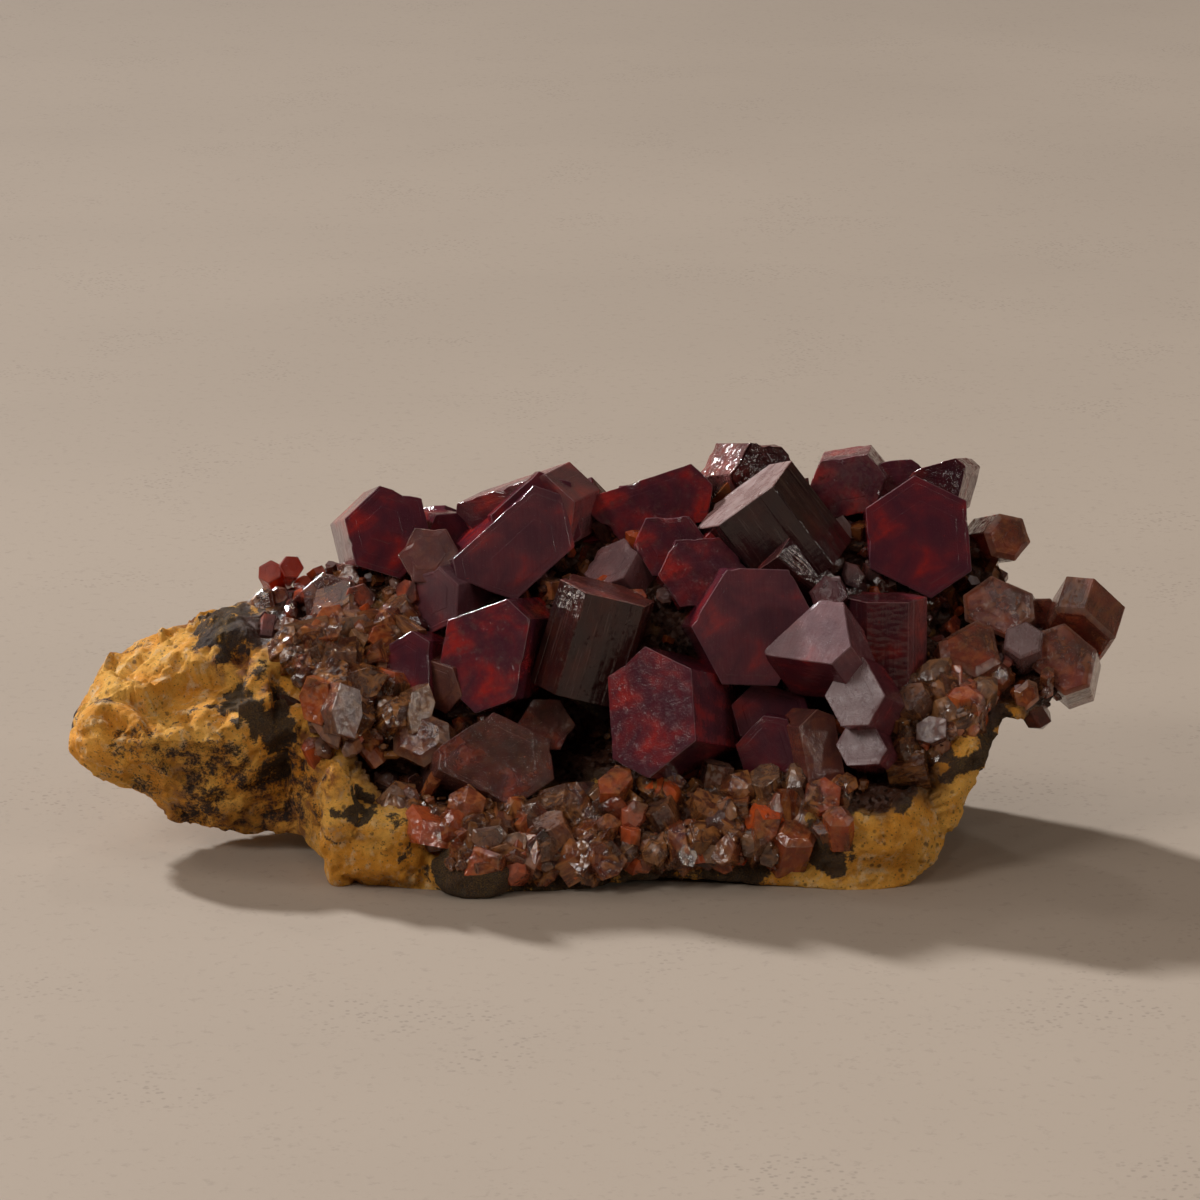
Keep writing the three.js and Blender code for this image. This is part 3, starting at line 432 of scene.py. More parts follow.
# Panels: name, place in metres, size, power and colour. The small ones give the glints.
PANEL_AIM = (0.0, 0.0, 0.015)
PANELS = [
    ("overhead", (-0.30, 0.10, 0.60), (0.4, 0.4), 0.48, (1.0, 0.95, 0.92)),
    ("front_left", (-0.43, -0.29, 0.46), (0.2, 0.2), 1.3, (1.0, 0.95, 0.90)),
    ("glint_left", (-0.30, -0.52, 0.40), (0.04, 0.04), 0.18, (1.0, 0.95, 0.88)),
    ("glint_top", (0.12, -0.40, 0.62), (0.04, 0.04), 0.18, (1.0, 0.95, 0.88)),
    ("glint_high_left", (-0.48, 0.16, 0.36), (0.04, 0.04), 0.18, (1.0, 0.93, 0.84)),
    ("glint_back", (0.02, 0.46, 0.48), (0.04, 0.04), 0.18, (1.0, 0.93, 0.84)),
    ("glint_far_left", (-0.60, 0.10, 0.12), (0.06, 0.06), 0.40, (1.0, 0.93, 0.84)),
    ("glint_far_right", (0.55, -0.28, 0.14), (0.06, 0.06), 0.40, (1.0, 0.93, 0.84)),
    ("glint_right", (0.46, -0.14, 0.38), (0.04, 0.04), 0.18, (1.0, 0.95, 0.88)),
]


# Noise and curves


def lattice(x, y, z, seed):
    h = np.sin(x * 127.1 + y * 311.7 + z * 74.7 + seed * 53.3) * 43758.5453
    return h - np.floor(h)


def value_noise(p, size, seed):
    """Smooth noise from -1 to 1 at the points p, with lumps of the given size."""
    q = np.asarray(p, float) / size
    low = np.floor(q)
    ease = (q - low) ** 2 * (3 - 2 * (q - low))
    total = np.zeros(len(q))
    for corner in range(8):
        step = np.array([corner & 1, corner >> 1 & 1, corner >> 2 & 1])
        weight = np.prod(np.where(step, ease, 1 - ease), axis=1)
        total += weight * lattice(*(low + step).T, seed)
    return 2 * total - 1


def roughness(p, size, seed):
    return value_noise(p, size, seed) + 0.45 * value_noise(p, size / 2.3, seed + 7)


def layered(p, size, seed, octaves=4, fade=0.5):
    """Noise with octaves finer layers, each fade times as strong as the last."""
    return sum(fade**k * value_noise(p, size / 2**k, seed + 11 * k) for k in range(octaves))


def cells(p, size, seed):
    """Distance to the nearest scattered point, the way to it, and that point's own random number."""
    q = np.asarray(p, float) / size
    low = np.floor(q)
    nearest = np.full(len(q), 9.0)
    way = np.zeros((len(q), 3))
    chance = np.zeros(len(q))
    for step in np.ndindex(3, 3, 3):
        cell = low + np.array(step) - 1
        spot = cell + np.column_stack([lattice(*cell.T, seed + k) for k in range(3)])
        distance = np.linalg.norm(q - spot, axis=1)
        closer = distance < nearest
        nearest[closer] = distance[closer]
        way[closer] = (q - spot)[closer]
        chance[closer] = lattice(*cell.T, seed + 5)[closer]
    return nearest * size, way * size, chance


def smooth(low, high, x):
    t = np.clip((x - low) / (high - low), 0, 1)
    return t * t * (3 - 2 * t)


def curve(points, t, closed=False):
    """Centripetal curves through points, one for each column, at the positions t from 0 to 1."""
    count = len(points)
    place = t * (count if closed else count - 1)
    start = np.minimum(np.floor(place).astype(int), count - 1 if closed else count - 2)
    w = (place - start).reshape(-1, *[1] * (points.ndim - 1))
    if closed:
        knots = [points[(start + k) % count] for k in (-1, 0, 1, 2)]
    else:
        longer = np.concatenate([[2 * points[0] - points[1]], points, [2 * points[-1] - points[-2]]])
        knots = [longer[start + k] for k in (0, 1, 2, 3)]
    a, b, c, d = knots
    gap = [np.linalg.norm(q - p, axis=-1, keepdims=True) ** 0.5 for p, q in ((a, b), (b, c), (c, d))]
    g0, g1, g2 = (np.maximum(g, 1e-2) for g in gap)
    leave = ((b - a) / g0 - (c - a) / (g0 + g1) + (c - b) / g1) * g1
    arrive = ((c - b) / g1 - (d - b) / (g1 + g2) + (d - c) / g2) * g1
    bend = -3 * b + 3 * c - 2 * leave - arrive
    twist = 2 * b - 2 * c + leave + arrive
    return b + w * (leave + w * (bend + w * twist))


# Crystals


def basis(turn, rise):
    """Rows: across the end face, up it, and outward from it."""
    t, r = math.radians(turn), math.radians(rise)
    outward = np.array([math.sin(t) * math.cos(r), -math.cos(t) * math.cos(r), math.sin(r)])
    across = np.array([math.cos(t), math.sin(t), 0.0])
    return np.array([across, np.cross(outward, across), outward])


def corners(first, sides):
    """The corners of a hexagon whose sides are 60 degrees apart, at their own distances from the axis."""
    d = np.broadcast_to(np.array(sides, float), 6)
    a = np.radians(first + 60 * np.arange(6))
    s = (2 * np.roll(d, -1) - d) / math.sqrt(3)
    return np.column_stack([d * np.cos(a) - s * np.sin(a), d * np.sin(a) + s * np.cos(a)])


def outline(ring, ribs, rng):
    """The hexagon's edge, with worn corners and fine ribs along the sides."""
    points, side = [], []
    for k in range(6):
        start, end = ring[k - 1], ring[k]
        length = np.linalg.norm(end - start)
        along = (end - start) / length
        outward = np.array([along[1], -along[0]])
        worn = min(BEVEL, 0.2 * length)
        count = max(2, round(length / RIB_WIDTH))
        places = np.sort(rng.uniform(worn, length - worn, count))
        places[0], places[-1] = worn, length - worn
        depth = rng.uniform(-ribs, 0, count)
        depth[0] = depth[-1] = 0
        points.append(start + places[:, None] * along + depth[:, None] * outward)
        side += [k] * count
    return np.concatenate(points), np.array(side)


def quads(a, b, c, d):
    """Two triangles for each face with four corners."""
    return [np.column_stack([a, b, c]), np.column_stack([a, c, d])]


def loft(rings, first_middle, last_middle):
    """Triangles of a closed body through rings of equal length, with a fan over each end."""
    count = len(rings[0])
    points = np.concatenate([*rings, [first_middle, last_middle]])
    j = np.arange(count)
    after = (j + 1) % count
    faces = []
    for i in range(len(rings) - 1):
        a, b = i * count, (i + 1) * count
        faces += quads(a + j, b + j, b + after, a + after)
    last = (len(rings) - 1) * count
    top, bottom = len(points) - 2, len(points) - 1
    faces.append(np.column_stack([np.full(count, top), j, after]))
    faces.append(np.column_stack([np.full(count, bottom), last + after, last + j]))
    return points, np.concatenate(faces)


class Heap:
    """Solids gathered for one piece: points in millimetres, triangles and what the materials read."""

    def __init__(self):
        self.points, self.faces, self.local, self.look, self.satin, self.kinds = [], [], [], [], [], []
        self.count = 0

    def add(self, points, faces, local=None, look=(0, 0, 0), satin=0.0, kind=0):
        self.points.append(points)
        self.faces.append(faces + self.count)
        self.local.append(points if local is None else local)
        look = np.asarray(look, float)
        self.look.append(np.tile(look, (len(points), 1)) if look.ndim == 1 else look)
        self.satin.append(np.broadcast_to(satin, len(points)))
        self.kinds.append(np.full(len(faces), kind, np.int32))
        self.count += len(points)

    def piece(self, name, materials, slot, nodes=(), flat=True):
        points = np.concatenate(self.points) + MIDDLE
        low, high = (np.array(corner) / MM for corner in CAD_BOX)
        points = np.clip(points, low, high)
        vectors = {"local": np.concatenate(self.local), "look": np.concatenate(self.look)}
        return mesh_piece(name, points, np.concatenate(self.faces), materials, nodes, flat, vectors,
                          np.concatenate(self.satin), np.concatenate(self.kinds))


def add_object(name, data):
    """Puts a mesh, a light or a camera in the scene."""
    added = bpy.data.objects.new(name, data)
    bpy.context.scene.collection.objects.link(added)
    return added


def mesh_piece(name, points, faces, materials, nodes, flat, vectors, satin, kinds):
    mesh = bpy.data.meshes.new(name)
    mesh.vertices.add(len(points))
    mesh.vertices.foreach_set("co", (points * MM).astype(np.float32).ravel())
    mesh.loops.add(3 * len(faces))
    mesh.loops.foreach_set("vertex_index", faces.astype(np.int32).ravel())
    mesh.polygons.add(len(faces))
    mesh.polygons.foreach_set("loop_start", np.arange(0, 3 * len(faces), 3, dtype=np.int32))
    mesh.polygons.foreach_set("material_index", kinds)
    mesh.update(calc_edges=True)
    for key, values in vectors.items():
        mesh.attributes.new(key, "FLOAT_VECTOR", "POINT")
        mesh.attributes[key].data.foreach_set("vector", values.astype(np.float32).ravel())
    mesh.attributes.new("satin", "FLOAT", "POINT")
    mesh.attributes["satin"].data.foreach_set("value", satin.astype(np.float32))
    for material in materials:
        mesh.materials.append(material)
    if flat:
        mesh.shade_flat()
    else:
        mesh.shade_smooth()
    piece = add_object(name, mesh)
    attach(piece, "root")
    if nodes:
        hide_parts(*nodes)
    return piece


def grow_crystal(heap, spec, look, rng):
    """One detailed prism: worn edges, ribbed sides, growth steps over the end face, and chipped edges."""
    at, turn, rise, first, sides, length = spec
    ring = corners(first, sides)
    edge, side = outline(ring, look["ribs"], rng)
    span = np.linalg.norm(ring, axis=1).mean()
    drift = rng.uniform(-0.3, 0.3, 2) * span
    slope = look["taper"] * span
    rings = []
    level = 0.0
    for scale in np.sort(rng.uniform(0.35, 0.93, GROWTH_STEPS)):
        level_before = level
        level = look["relief"] * rng.uniform(-1, 0.2)
        for size, height in ((scale, level_before), (scale + STEP_WIDTH, level)):
            rings.append(np.column_stack([edge * size + drift * (1 - size), np.full(len(edge), height)]))
    rings.append(np.column_stack([edge * (1 - 1.2 * BEVEL / span), np.zeros(len(edge))]))
    for ring in rings:
        ring[:, :2] *= 1 - look["taper"]
    cap_rings = len(rings)
    below = np.sort(rng.uniform(0.6 + 0.7 * slope, length - 0.1, 5))
    depths = np.concatenate([0.7 * slope + np.array([BEVEL, 1.6 * BEVEL]), below, [length]])
    for depth in depths:
        inset = 0 if depth == depths[0] else rng.uniform(0, 0.35) * look["ribs"]
        rings.append(np.column_stack([edge * (1 - inset / span), np.full(len(edge), -depth)]))
    # A painted pale sheen on the end face and on each side, black below 0, and a painted highlight on the
    # worn edges.
    flank = np.broadcast_to(look["sides"], 6)[side]
    satin = [np.full(cap_rings * len(edge), look["cap"]), np.maximum(PAINTED_EDGE_HIGHLIGHT, flank),
             np.tile(flank, len(depths) - 1), [look["cap"], 0.0]]
    middle = np.array([*drift, rings[0][0, 2]])
    local, faces = loft(rings, middle, np.array([0, 0, -length]))
    for _ in range(look["chips"]):
        spot = np.array([*edge[rng.integers(len(edge))], 0.0])
        reach = rng.uniform(0.25, 0.9) * min(1.0, span / 4)
        near = np.clip(1 - np.linalg.norm(local - spot, axis=1) / reach, 0, 1)
        local += (0.3 * near * reach)[:, None] * (np.array([0, 0, -1.5]) - spot) / np.linalg.norm(spot)
    rough = np.column_stack([layered(local + 40 * k, 0.9, 31 + k, 3) for k in range(3)])
    local += look["wobble"] * rough
    tint = (look["brown"], look["glow"], look["dust"])
    heap.add(np.array(at) + local @ basis(turn, rise), faces, local, tint, np.concatenate(satin))


def swarm(heap, spots, outward, radius, height, looks, rng):
    """Many small prisms, each with its own lean, width and height over its spot."""
    count = len(spots)
    lean = outward / np.linalg.norm(outward, axis=1, keepdims=True)
    helper = rng.normal(size=(count, 3))
    across = np.cross(helper, lean)
    across /= np.linalg.norm(across, axis=1, keepdims=True)
    up = np.cross(lean, across)
    angle = np.radians(60 * np.arange(6))
    hexagon = np.column_stack([np.cos(angle), np.sin(angle)])
    stretch = rng.uniform(0.75, 1.3, (count, 1, 1))
    uneven = rng.uniform(0.72, 1.15, (count, 6, 1))
    flat = hexagon[None] * uneven * radius[:, None, None] * np.concatenate([stretch, 1 / stretch], axis=2)
    pointed = rng.random(count) < POINTED
    taper = np.where(pointed, rng.uniform(0.3, 0.9, count), 0.04)
    drop = taper * radius * np.where(pointed, rng.uniform(0.5, 1.0, count), 1.0)
    rings = ((1 - taper, height), (np.ones(count), height - drop), (np.ones(count), -0.6 * radius))
    top, rim, foot = (
        np.concatenate([flat * size[:, None, None], np.repeat(level[:, None, None], 6, axis=1)], axis=2)
        for size, level in rings)
    middle = np.concatenate([(1 - taper[:, None]) * flat.mean(1), height[:, None]], axis=1)[:, None]
    local = np.concatenate([middle, top, rim, foot], axis=1)
    rows = np.stack([across, up, lean], axis=1)
    points = spots[:, None] + local @ rows
    j = np.arange(6)
    after = (j + 1) % 6
    one = [np.column_stack([np.zeros(6, int), 1 + j, 1 + after])]
    for a, b in ((1, 7), (7, 13)):
        one += quads(a + j, b + j, b + after, a + after)
    one.append(np.array([[13, 13 + k + 1, 13 + k] for k in range(1, 5)]))
    one = np.concatenate(one)
    faces = (one[None] + 19 * np.arange(count)[:, None, None]).reshape(-1, 3)
    look = np.repeat(looks, 19, axis=0)
    shift = rng.uniform(-50, 50, (count, 1, 3))
    # A painted pale sheen on some small crystals, full on their tops and half on their sides.
    satin = rng.random((count, 1)) ** 2.5 * 0.7 * np.concatenate([np.full(7, 1.0), np.full(12, 0.5)])
    heap.add(points.reshape(-1, 3), faces, (local + shift).reshape(-1, 3), look, satin.ravel())


def each_crystal(points):
    """For each large crystal: the points in its own coordinates, and its first side, sides and length."""
    for group in CRYSTALS.values():
        for at, turn, rise, first, sides, length in group.values():
            local = (points - np.array(at)) @ basis(turn, rise).T
            yield local, first, np.broadcast_to(np.array(sides, float), 6), length


def inside_any(points, grow):
    """True where a point is inside one of the large crystals, grown by so many millimetres."""
    found = np.zeros(len(points), bool)
    for local, first, sides, length in each_crystal(points):
        a = np.radians(first + 60 * np.arange(6))
        reach = local[:, :2] @ np.stack([np.cos(a), np.sin(a)])
        between = (local[:, 2] < grow) & (local[:, 2] > -length - grow)
        found |= between & np.all(reach < sides + grow, axis=1)
    return found


def crystal_nearness(points):
    """Distance to the nearest large crystal's sides, roughly, in millimetres."""
    nearest = np.full(len(points), 99.0)
    for local, _, sides, length in each_crystal(points):
        depth = np.maximum(np.maximum(local[:, 2], -length - local[:, 2]), 0)
        side = np.maximum(np.linalg.norm(local[:, :2], axis=1) - np.mean(sides), 0)
        nearest = np.minimum(nearest, np.hypot(depth, side))
    return nearest


def tables_to_part():
    """How far the tables' origin lies from the part's, found on the one crystal that nothing cuts."""
    at, turn, rise, first, sides, length = CRYSTALS["front_hexagon"]["hexagon"]
    ring = corners(first, sides)
    local = np.concatenate([np.column_stack([ring, np.full(6, z)]) for z in (0, -length)])
    low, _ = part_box("front_hexagon_crystals")
    return np.array(low) / MM - (np.array(at) + local @ basis(turn, rise)).min(0)


MIDDLE = tables_to_part()


# Camera geometry


def camera_rows():
    """Rows: right, up and towards the camera."""
    rise = math.radians(CAMERA_RISE)
    return np.array([[1, 0, 0], [0, math.sin(rise), math.cos(rise)], [0, -math.cos(rise), math.sin(rise)]])


EYE = np.array(CAMERA_TARGET) + CAMERA_DISTANCE * camera_rows()[2]


def seen(points):
    """Where points show in the picture, in pixels."""
    right, up, back = ((points - EYE) @ camera_rows().T).T
    return np.column_stack([PICTURE / 2 - FOCAL * right / back, PICTURE / 2 + FOCAL * up / back])


# Materials


class Nodes:
    """A tree whose nodes are added in order, each by its kind, inputs and settings."""

    def __init__(self, tree):
        self.tree = tree

    def node(self, kind, inputs=None, **settings):
        node = self.tree.nodes.new(kind)
        for key, value in settings.items():
            setattr(node, key, value)
        for key, value in (inputs or {}).items():
            socket = node.inputs[key]
            if isinstance(value, bpy.types.NodeSocket):
                self.tree.links.new(value, socket)
            else:
                socket.default_value = value
        return node

    def stored(self, name, output="Vector"):
        node = self.node("ShaderNodeAttribute", attribute_name=name, attribute_type="GEOMETRY")
        return node.outputs[output]

    def parts(self, vector):
        node = self.node("ShaderNodeSeparateXYZ", {"Vector": vector})
        return node.outputs["X"], node.outputs["Y"], node.outputs["Z"]

    def scaled(self, vector, scale):
        return self.node("ShaderNodeMapping", {"Vector": vector, "Scale": scale}).outputs["Vector"]

    def noise(self, vector, scale, detail=4.0, rough=0.55, distortion=0.0):
        inputs = {"Vector": vector, "Scale": scale, "Detail": detail, "Roughness": rough}
        return self.node("ShaderNodeTexNoise", {**inputs, "Distortion": distortion}).outputs["Fac"]

    def cell(self, vector, scale):
        return self.node("ShaderNodeTexVoronoi", {"Vector": vector, "Scale": scale}).outputs["Distance"]

    def step(self, value, low, high, to_low=0.0, to_high=1.0):
        inputs = {"Value": value, "From Min": low, "From Max": high, "To Min": to_low, "To Max": to_high}
        return self.node("ShaderNodeMapRange", inputs, interpolation_type="SMOOTHSTEP").outputs["Result"]

    def math(self, operation, a, b, clamp=False):
        return self.node("ShaderNodeMath", {0: a, 1: b}, operation=operation, use_clamp=clamp).outputs[0]

    def times(self, a, b, clamp=False):
        return self.math("MULTIPLY", a, b, clamp)

    def plus(self, a, b):
        return self.math("ADD", a, b)

    def more(self, a, b):
        return self.math("MAXIMUM", a, b)

    def mix(self, factor, a, b):
        node = self.node("ShaderNodeMix", data_type="RGBA", clamp_factor=True)
        for socket, value in ((node.inputs[0], factor), (node.inputs[6], a), (node.inputs[7], b)):
            if isinstance(value, bpy.types.NodeSocket):
                self.tree.links.new(value, socket)
            elif isinstance(value, tuple):
                socket.default_value = (*value, 1.0)
            else:
                socket.default_value = value
        return node.outputs[2]

    def bump(self, height, strength, distance, normal=None):
        inputs = {"Height": height, "Strength": strength, "Distance": distance * MM}
        if normal is not None:
            inputs["Normal"] = normal
        return self.node("ShaderNodeBump", inputs).outputs["Normal"]

    def glitter(self, vector, scale, strength, normal):
        """Turns the normal its own way in each small cell, as on a surface of tiny crystals."""
        cells = self.node("ShaderNodeTexVoronoi", {"Vector": vector, "Scale": scale}).outputs["Color"]
        centred = self.vector_math("SUBTRACT", {0: cells, 1: (0.5, 0.5, 0.5)})
        lean = self.vector_math("SCALE", {0: centred, 3: strength})
        return self.vector_math("NORMALIZE", {0: self.vector_math("ADD", {0: normal, 1: lean})})

    def vector_math(self, operation, inputs):
        return self.node("ShaderNodeVectorMath", inputs, operation=operation).outputs[0]


class Shader(Nodes):
    """The tree of one material."""

    def __init__(self, name):
        self.material = bpy.data.materials.new(name)
        self.material.use_nodes = True
        super().__init__(self.material.node_tree)
        self.tree.nodes.clear()
        self.output = self.tree.nodes.new("ShaderNodeOutputMaterial")

    def finish(self, **inputs):
        named = {key.replace("_", " "): value for key, value in inputs.items()}
        volume = named.pop("Volume", None)
        shader = self.node("ShaderNodeBsdfPrincipled", named)
        self.tree.links.new(shader.outputs[0], self.output.inputs["Surface"])
        if volume is not None:
            self.tree.links.new(volume, self.output.inputs["Volume"])
        return self.material


def crystal_material(
        name, deep, dusk, bright, brown, amber, absorb, density, see_through, ior=1.47, haze=0.2):
    """Glassy, full of clouds and veils. look holds: how brown, how much bright red, how dusty.

    A clear body is red from deep to dusk with bright clouds, an earthy one brown to amber. Where the sheen
    attribute is above 0, a pale sheen is painted over the colour. Below 0, the faces are black.
    """
    s = Shader(name)
    local = s.stored("local")
    brownness, glow, dust = s.parts(s.stored("look"))
    satin = s.stored("satin", "Fac")
    clouds = s.noise(local, 0.30, 3.0, 0.5, 0.6)
    wisps = s.noise(s.scaled(local, (1.0, 1.0, 0.35)), 0.9, 4.0, 0.55, 1.2)
    grain = s.noise(local, 6.5, 4.0, 0.65)
    red = s.mix(s.step(clouds, 0.34, 0.66), dusk, deep)
    # Painted light: bright red clouds paint the glow of light through the crystal, and small flecks paint
    # red glints.
    lit = s.step(s.plus(clouds, s.times(glow, 0.22)), 0.54, 0.86)
    lit = s.times(lit, s.step(wisps, 0.30, 0.62, 0.25, 1.0))
    painted_red_glints = s.times(s.step(s.noise(local, 2.6, 3.0, 0.7, 0.5), 0.66, 0.74), 0.75)
    red = s.mix(s.more(lit, s.times(painted_red_glints, s.step(wisps, 0.42, 0.6))), red, bright)
    earthy = s.mix(s.step(wisps, 0.40, 0.66), brown, amber)
    earthy = s.mix(s.times(glow, s.step(clouds, 0.30, 0.60)), earthy, bright)
    body = s.mix(s.times(brownness, s.step(clouds, 0.25, 0.60, 0.8, 1.0)), red, earthy)
    specks = s.step(s.noise(local, 11.0, 2.0, 0.7), 0.67, 0.73)
    grime = s.step(s.noise(local, 1.1, 5.0, 0.7), 0.45, 0.72)
    dusty = s.times(s.plus(s.times(specks, 0.6), s.times(grime, dust)), 0.6, clamp=True)
    colour = s.mix(dusty, body, (0.22, 0.11, 0.075))
    lines = s.noise(s.scaled(local, (3.2, 3.2, 0.16)), 2.2, 3.0, 0.6)
    brushed = s.noise(s.scaled(local, (2.6, 0.22, 0.6)), 2.2, 4.0, 0.65, 0.3)
    sheen_streaks = s.times(s.step(brushed, 0.30, 0.62, 0.75, 1.0), s.step(clouds, 0.25, 0.60, 0.65, 1.0))
    streaks = s.step(lines, 0.52, 0.72)
    black = s.times(satin, -1.0, clamp=True)
    dark = s.mix(s.times(streaks, 0.7), (0.008, 0.006, 0.006), (0.075, 0.062, 0.058))
    colour = s.mix(black, colour, dark)
    # Painted sheen: faces marked above 0 turn pale mauve, or pale tan on brown crystals, in streaks.
    pale = s.times(s.more(satin, 0.0), sheen_streaks, clamp=True)
    colour = s.mix(pale, colour, s.mix(brownness, (0.32, 0.22, 0.25), (0.42, 0.26, 0.17)))
    plates = s.cell(s.scaled(local, (1.0, 1.0, 2.5)), 0.9)
    pits = s.step(s.cell(local, 3.4), 0.0, 0.16)
    normal = s.bump(lines, 0.25, 0.10)
    normal = s.bump(brushed, 0.12, 0.06, normal)
    normal = s.bump(plates, 0.10, 0.25, normal)
    normal = s.bump(pits, 0.15, 0.05, normal)
    normal = s.bump(grain, 0.16, 0.05, normal)
    normal = s.glitter(local, 3.6, s.times(dust, s.step(grime, 0.0, 1.0, 0.4, 1.6)), normal)
    sheen = s.step(s.noise(local, 0.8, 4.0, 0.6), 0.3, 0.75, 0.25 * haze, haze)
    rough = s.plus(s.plus(sheen, s.times(specks, 0.15)), s.times(pale, 0.22))
    volume = s.node("ShaderNodeVolumeAbsorption", {"Color": (*absorb, 1.0), "Density": density})
    return s.finish(
        Base_Color=colour, Roughness=rough, IOR=ior, Normal=normal, Transmission_Weight=see_through,
        Volume=volume.outputs["Volume"])


RED_CRYSTAL = crystal_material(
    "red_crystal", deep=(0.170, 0.016, 0.030), dusk=(0.088, 0.016, 0.034), bright=(0.55, 0.020, 0.012),
    brown=(0.115, 0.042, 0.028), amber=(0.24, 0.085, 0.035), absorb=(0.86, 0.16, 0.12), density=1500.0,
    see_through=0.28)
BROWN_CRYSTAL = crystal_material(
    "brown_crystal", deep=(0.15, 0.022, 0.020), dusk=(0.060, 0.020, 0.020), bright=(0.60, 0.055, 0.012),
    brown=(0.15, 0.062, 0.042), amber=(0.42, 0.17, 0.065), absorb=(0.88, 0.45, 0.26), density=1300.0,
    see_through=0.45)
SMALL_CRYSTAL = crystal_material(
    "small_crystal", deep=(0.16, 0.016, 0.010), dusk=(0.030, 0.010, 0.008), bright=(1.0, 0.15, 0.025),
    brown=(0.085, 0.030, 0.015), amber=(0.55, 0.23, 0.065), absorb=(0.93, 0.55, 0.25), density=800.0,
    see_through=0.4, ior=1.65, haze=0.08)
ORANGE_CRYSTAL = crystal_material(
    "orange_crystal", deep=(0.60, 0.07, 0.015), dusk=(0.40, 0.030, 0.010), bright=(0.95, 0.20, 0.03),
    brown=(0.30, 0.10, 0.04), amber=(0.50, 0.20, 0.08), absorb=(0.95, 0.30, 0.08), density=900.0,
    see_through=0.5)


def rock_material():
    """Earthy limonite. look holds: how dark, how crystalline, how rusty. Dark and rusty also carry painted
    shade on the wedge's underside, and dark carries it in the hollows.
    """
    s = Shader("limonite_rock")
    local = s.stored("local")
    dark, crust, rust_and_shade = s.parts(s.stored("look"))
    broad = s.noise(local, 0.22, 5.0, 0.6, 0.6)
    middling = s.noise(local, 0.9, 6.0, 0.65, 0.3)
    fine = s.noise(local, 4.5, 5.0, 0.7)
    sand = s.noise(local, 15.0, 3.0, 0.75)
    ochre = s.mix(s.step(broad, 0.35, 0.65), (0.86, 0.35, 0.028), (1.0, 0.54, 0.10))
    ochre = s.mix(s.step(middling, 0.50, 0.72), ochre, (0.92, 0.66, 0.36))
    ochre = s.mix(s.step(fine, 0.50, 0.72, 0.0, 0.6), ochre, (0.42, 0.155, 0.014))
    ochre = s.mix(s.step(sand, 0.52, 0.72, 0.0, 0.4), ochre, (0.34, 0.15, 0.03))
    # Dark rust brown, which under the wedge is painted shade.
    ochre = s.mix(s.times(rust_and_shade, s.step(middling, 0.35, 0.6)), ochre, (0.24, 0.060, 0.012))
    patchy = s.step(s.noise(local, 0.35, 3.0, 0.6), 0.44, 0.60)
    specks = s.times(s.step(s.cell(local, 1.25), 0.30, 0.14), patchy)
    tiny = s.times(s.step(s.cell(local, 2.9), 0.26, 0.14), s.step(fine, 0.42, 0.55))
    ragged = s.plus(s.math("SUBTRACT", middling, 0.5), s.math("SUBTRACT", fine, 0.5))
    # Black stains, and painted shade in the hollows and under the wedge.
    stain_and_shade = s.step(s.plus(dark, s.times(ragged, 1.2)), 0.35, 0.62)
    stain_and_shade = s.times(stain_and_shade, s.step(sand, 0.30, 0.60, 0.75, 1.0))
    black = s.more(s.times(s.more(specks, tiny), 0.7), stain_and_shade)
    # The black of specks and stains, which is also the colour of the painted shade.
    black_and_shade = s.mix(s.step(fine, 0.45, 0.75), (0.010, 0.0095, 0.010), (0.042, 0.039, 0.040))
    colour = s.mix(black, ochre, black_and_shade)
    druse = s.mix(fine, (0.018, 0.007, 0.005), (0.11, 0.038, 0.018))
    colour = s.mix(crust, colour, druse)
    rough = s.step(crust, 0.0, 1.0, 0.9, 0.25)
    normal = s.bump(middling, 0.55, 0.5)
    normal = s.bump(fine, 0.80, 0.30, normal)
    normal = s.bump(sand, 0.80, 0.14, normal)
    normal = s.glitter(local, 2.8, s.times(crust, 1.4), normal)
    return s.finish(Base_Color=colour, Roughness=rough, Normal=normal, IOR=1.47)


ROCK = rock_material()


# The rock


def rock_grid():
    """The smooth rock and its normals, by slices along it and points round it."""
    rings = np.array([[(x, y, z) for y, z in ring] for x, ring in SLICES])
    around = np.arange(ROCK_AROUND) / ROCK_AROUND
    rounds = curve(rings.transpose(1, 0, 2), around, closed=True)
    corner = np.floor(8 * around).astype(int)
    part = (8 * around - corner)[:, None, None]
    this, after = (rings[:, k].transpose(1, 0, 2) for k in (corner, (corner + 1) % 8))
    straight = (1 - part) * this + part * after
    rounds = (1 - ROCK_CRISPNESS) * rounds + ROCK_CRISPNESS * straight
    grid = curve(rounds.transpose(1, 0, 2), np.linspace(0, 1, ROCK_ALONG))
    along = np.gradient(grid, axis=0)
    around = np.roll(grid, -1, axis=1) - np.roll(grid, 1, axis=1)
    normals = np.cross(along, around)
    return grid, normals / np.maximum(np.linalg.norm(normals, axis=2, keepdims=True), 1e-9)


GRID, NORMALS = rock_grid()


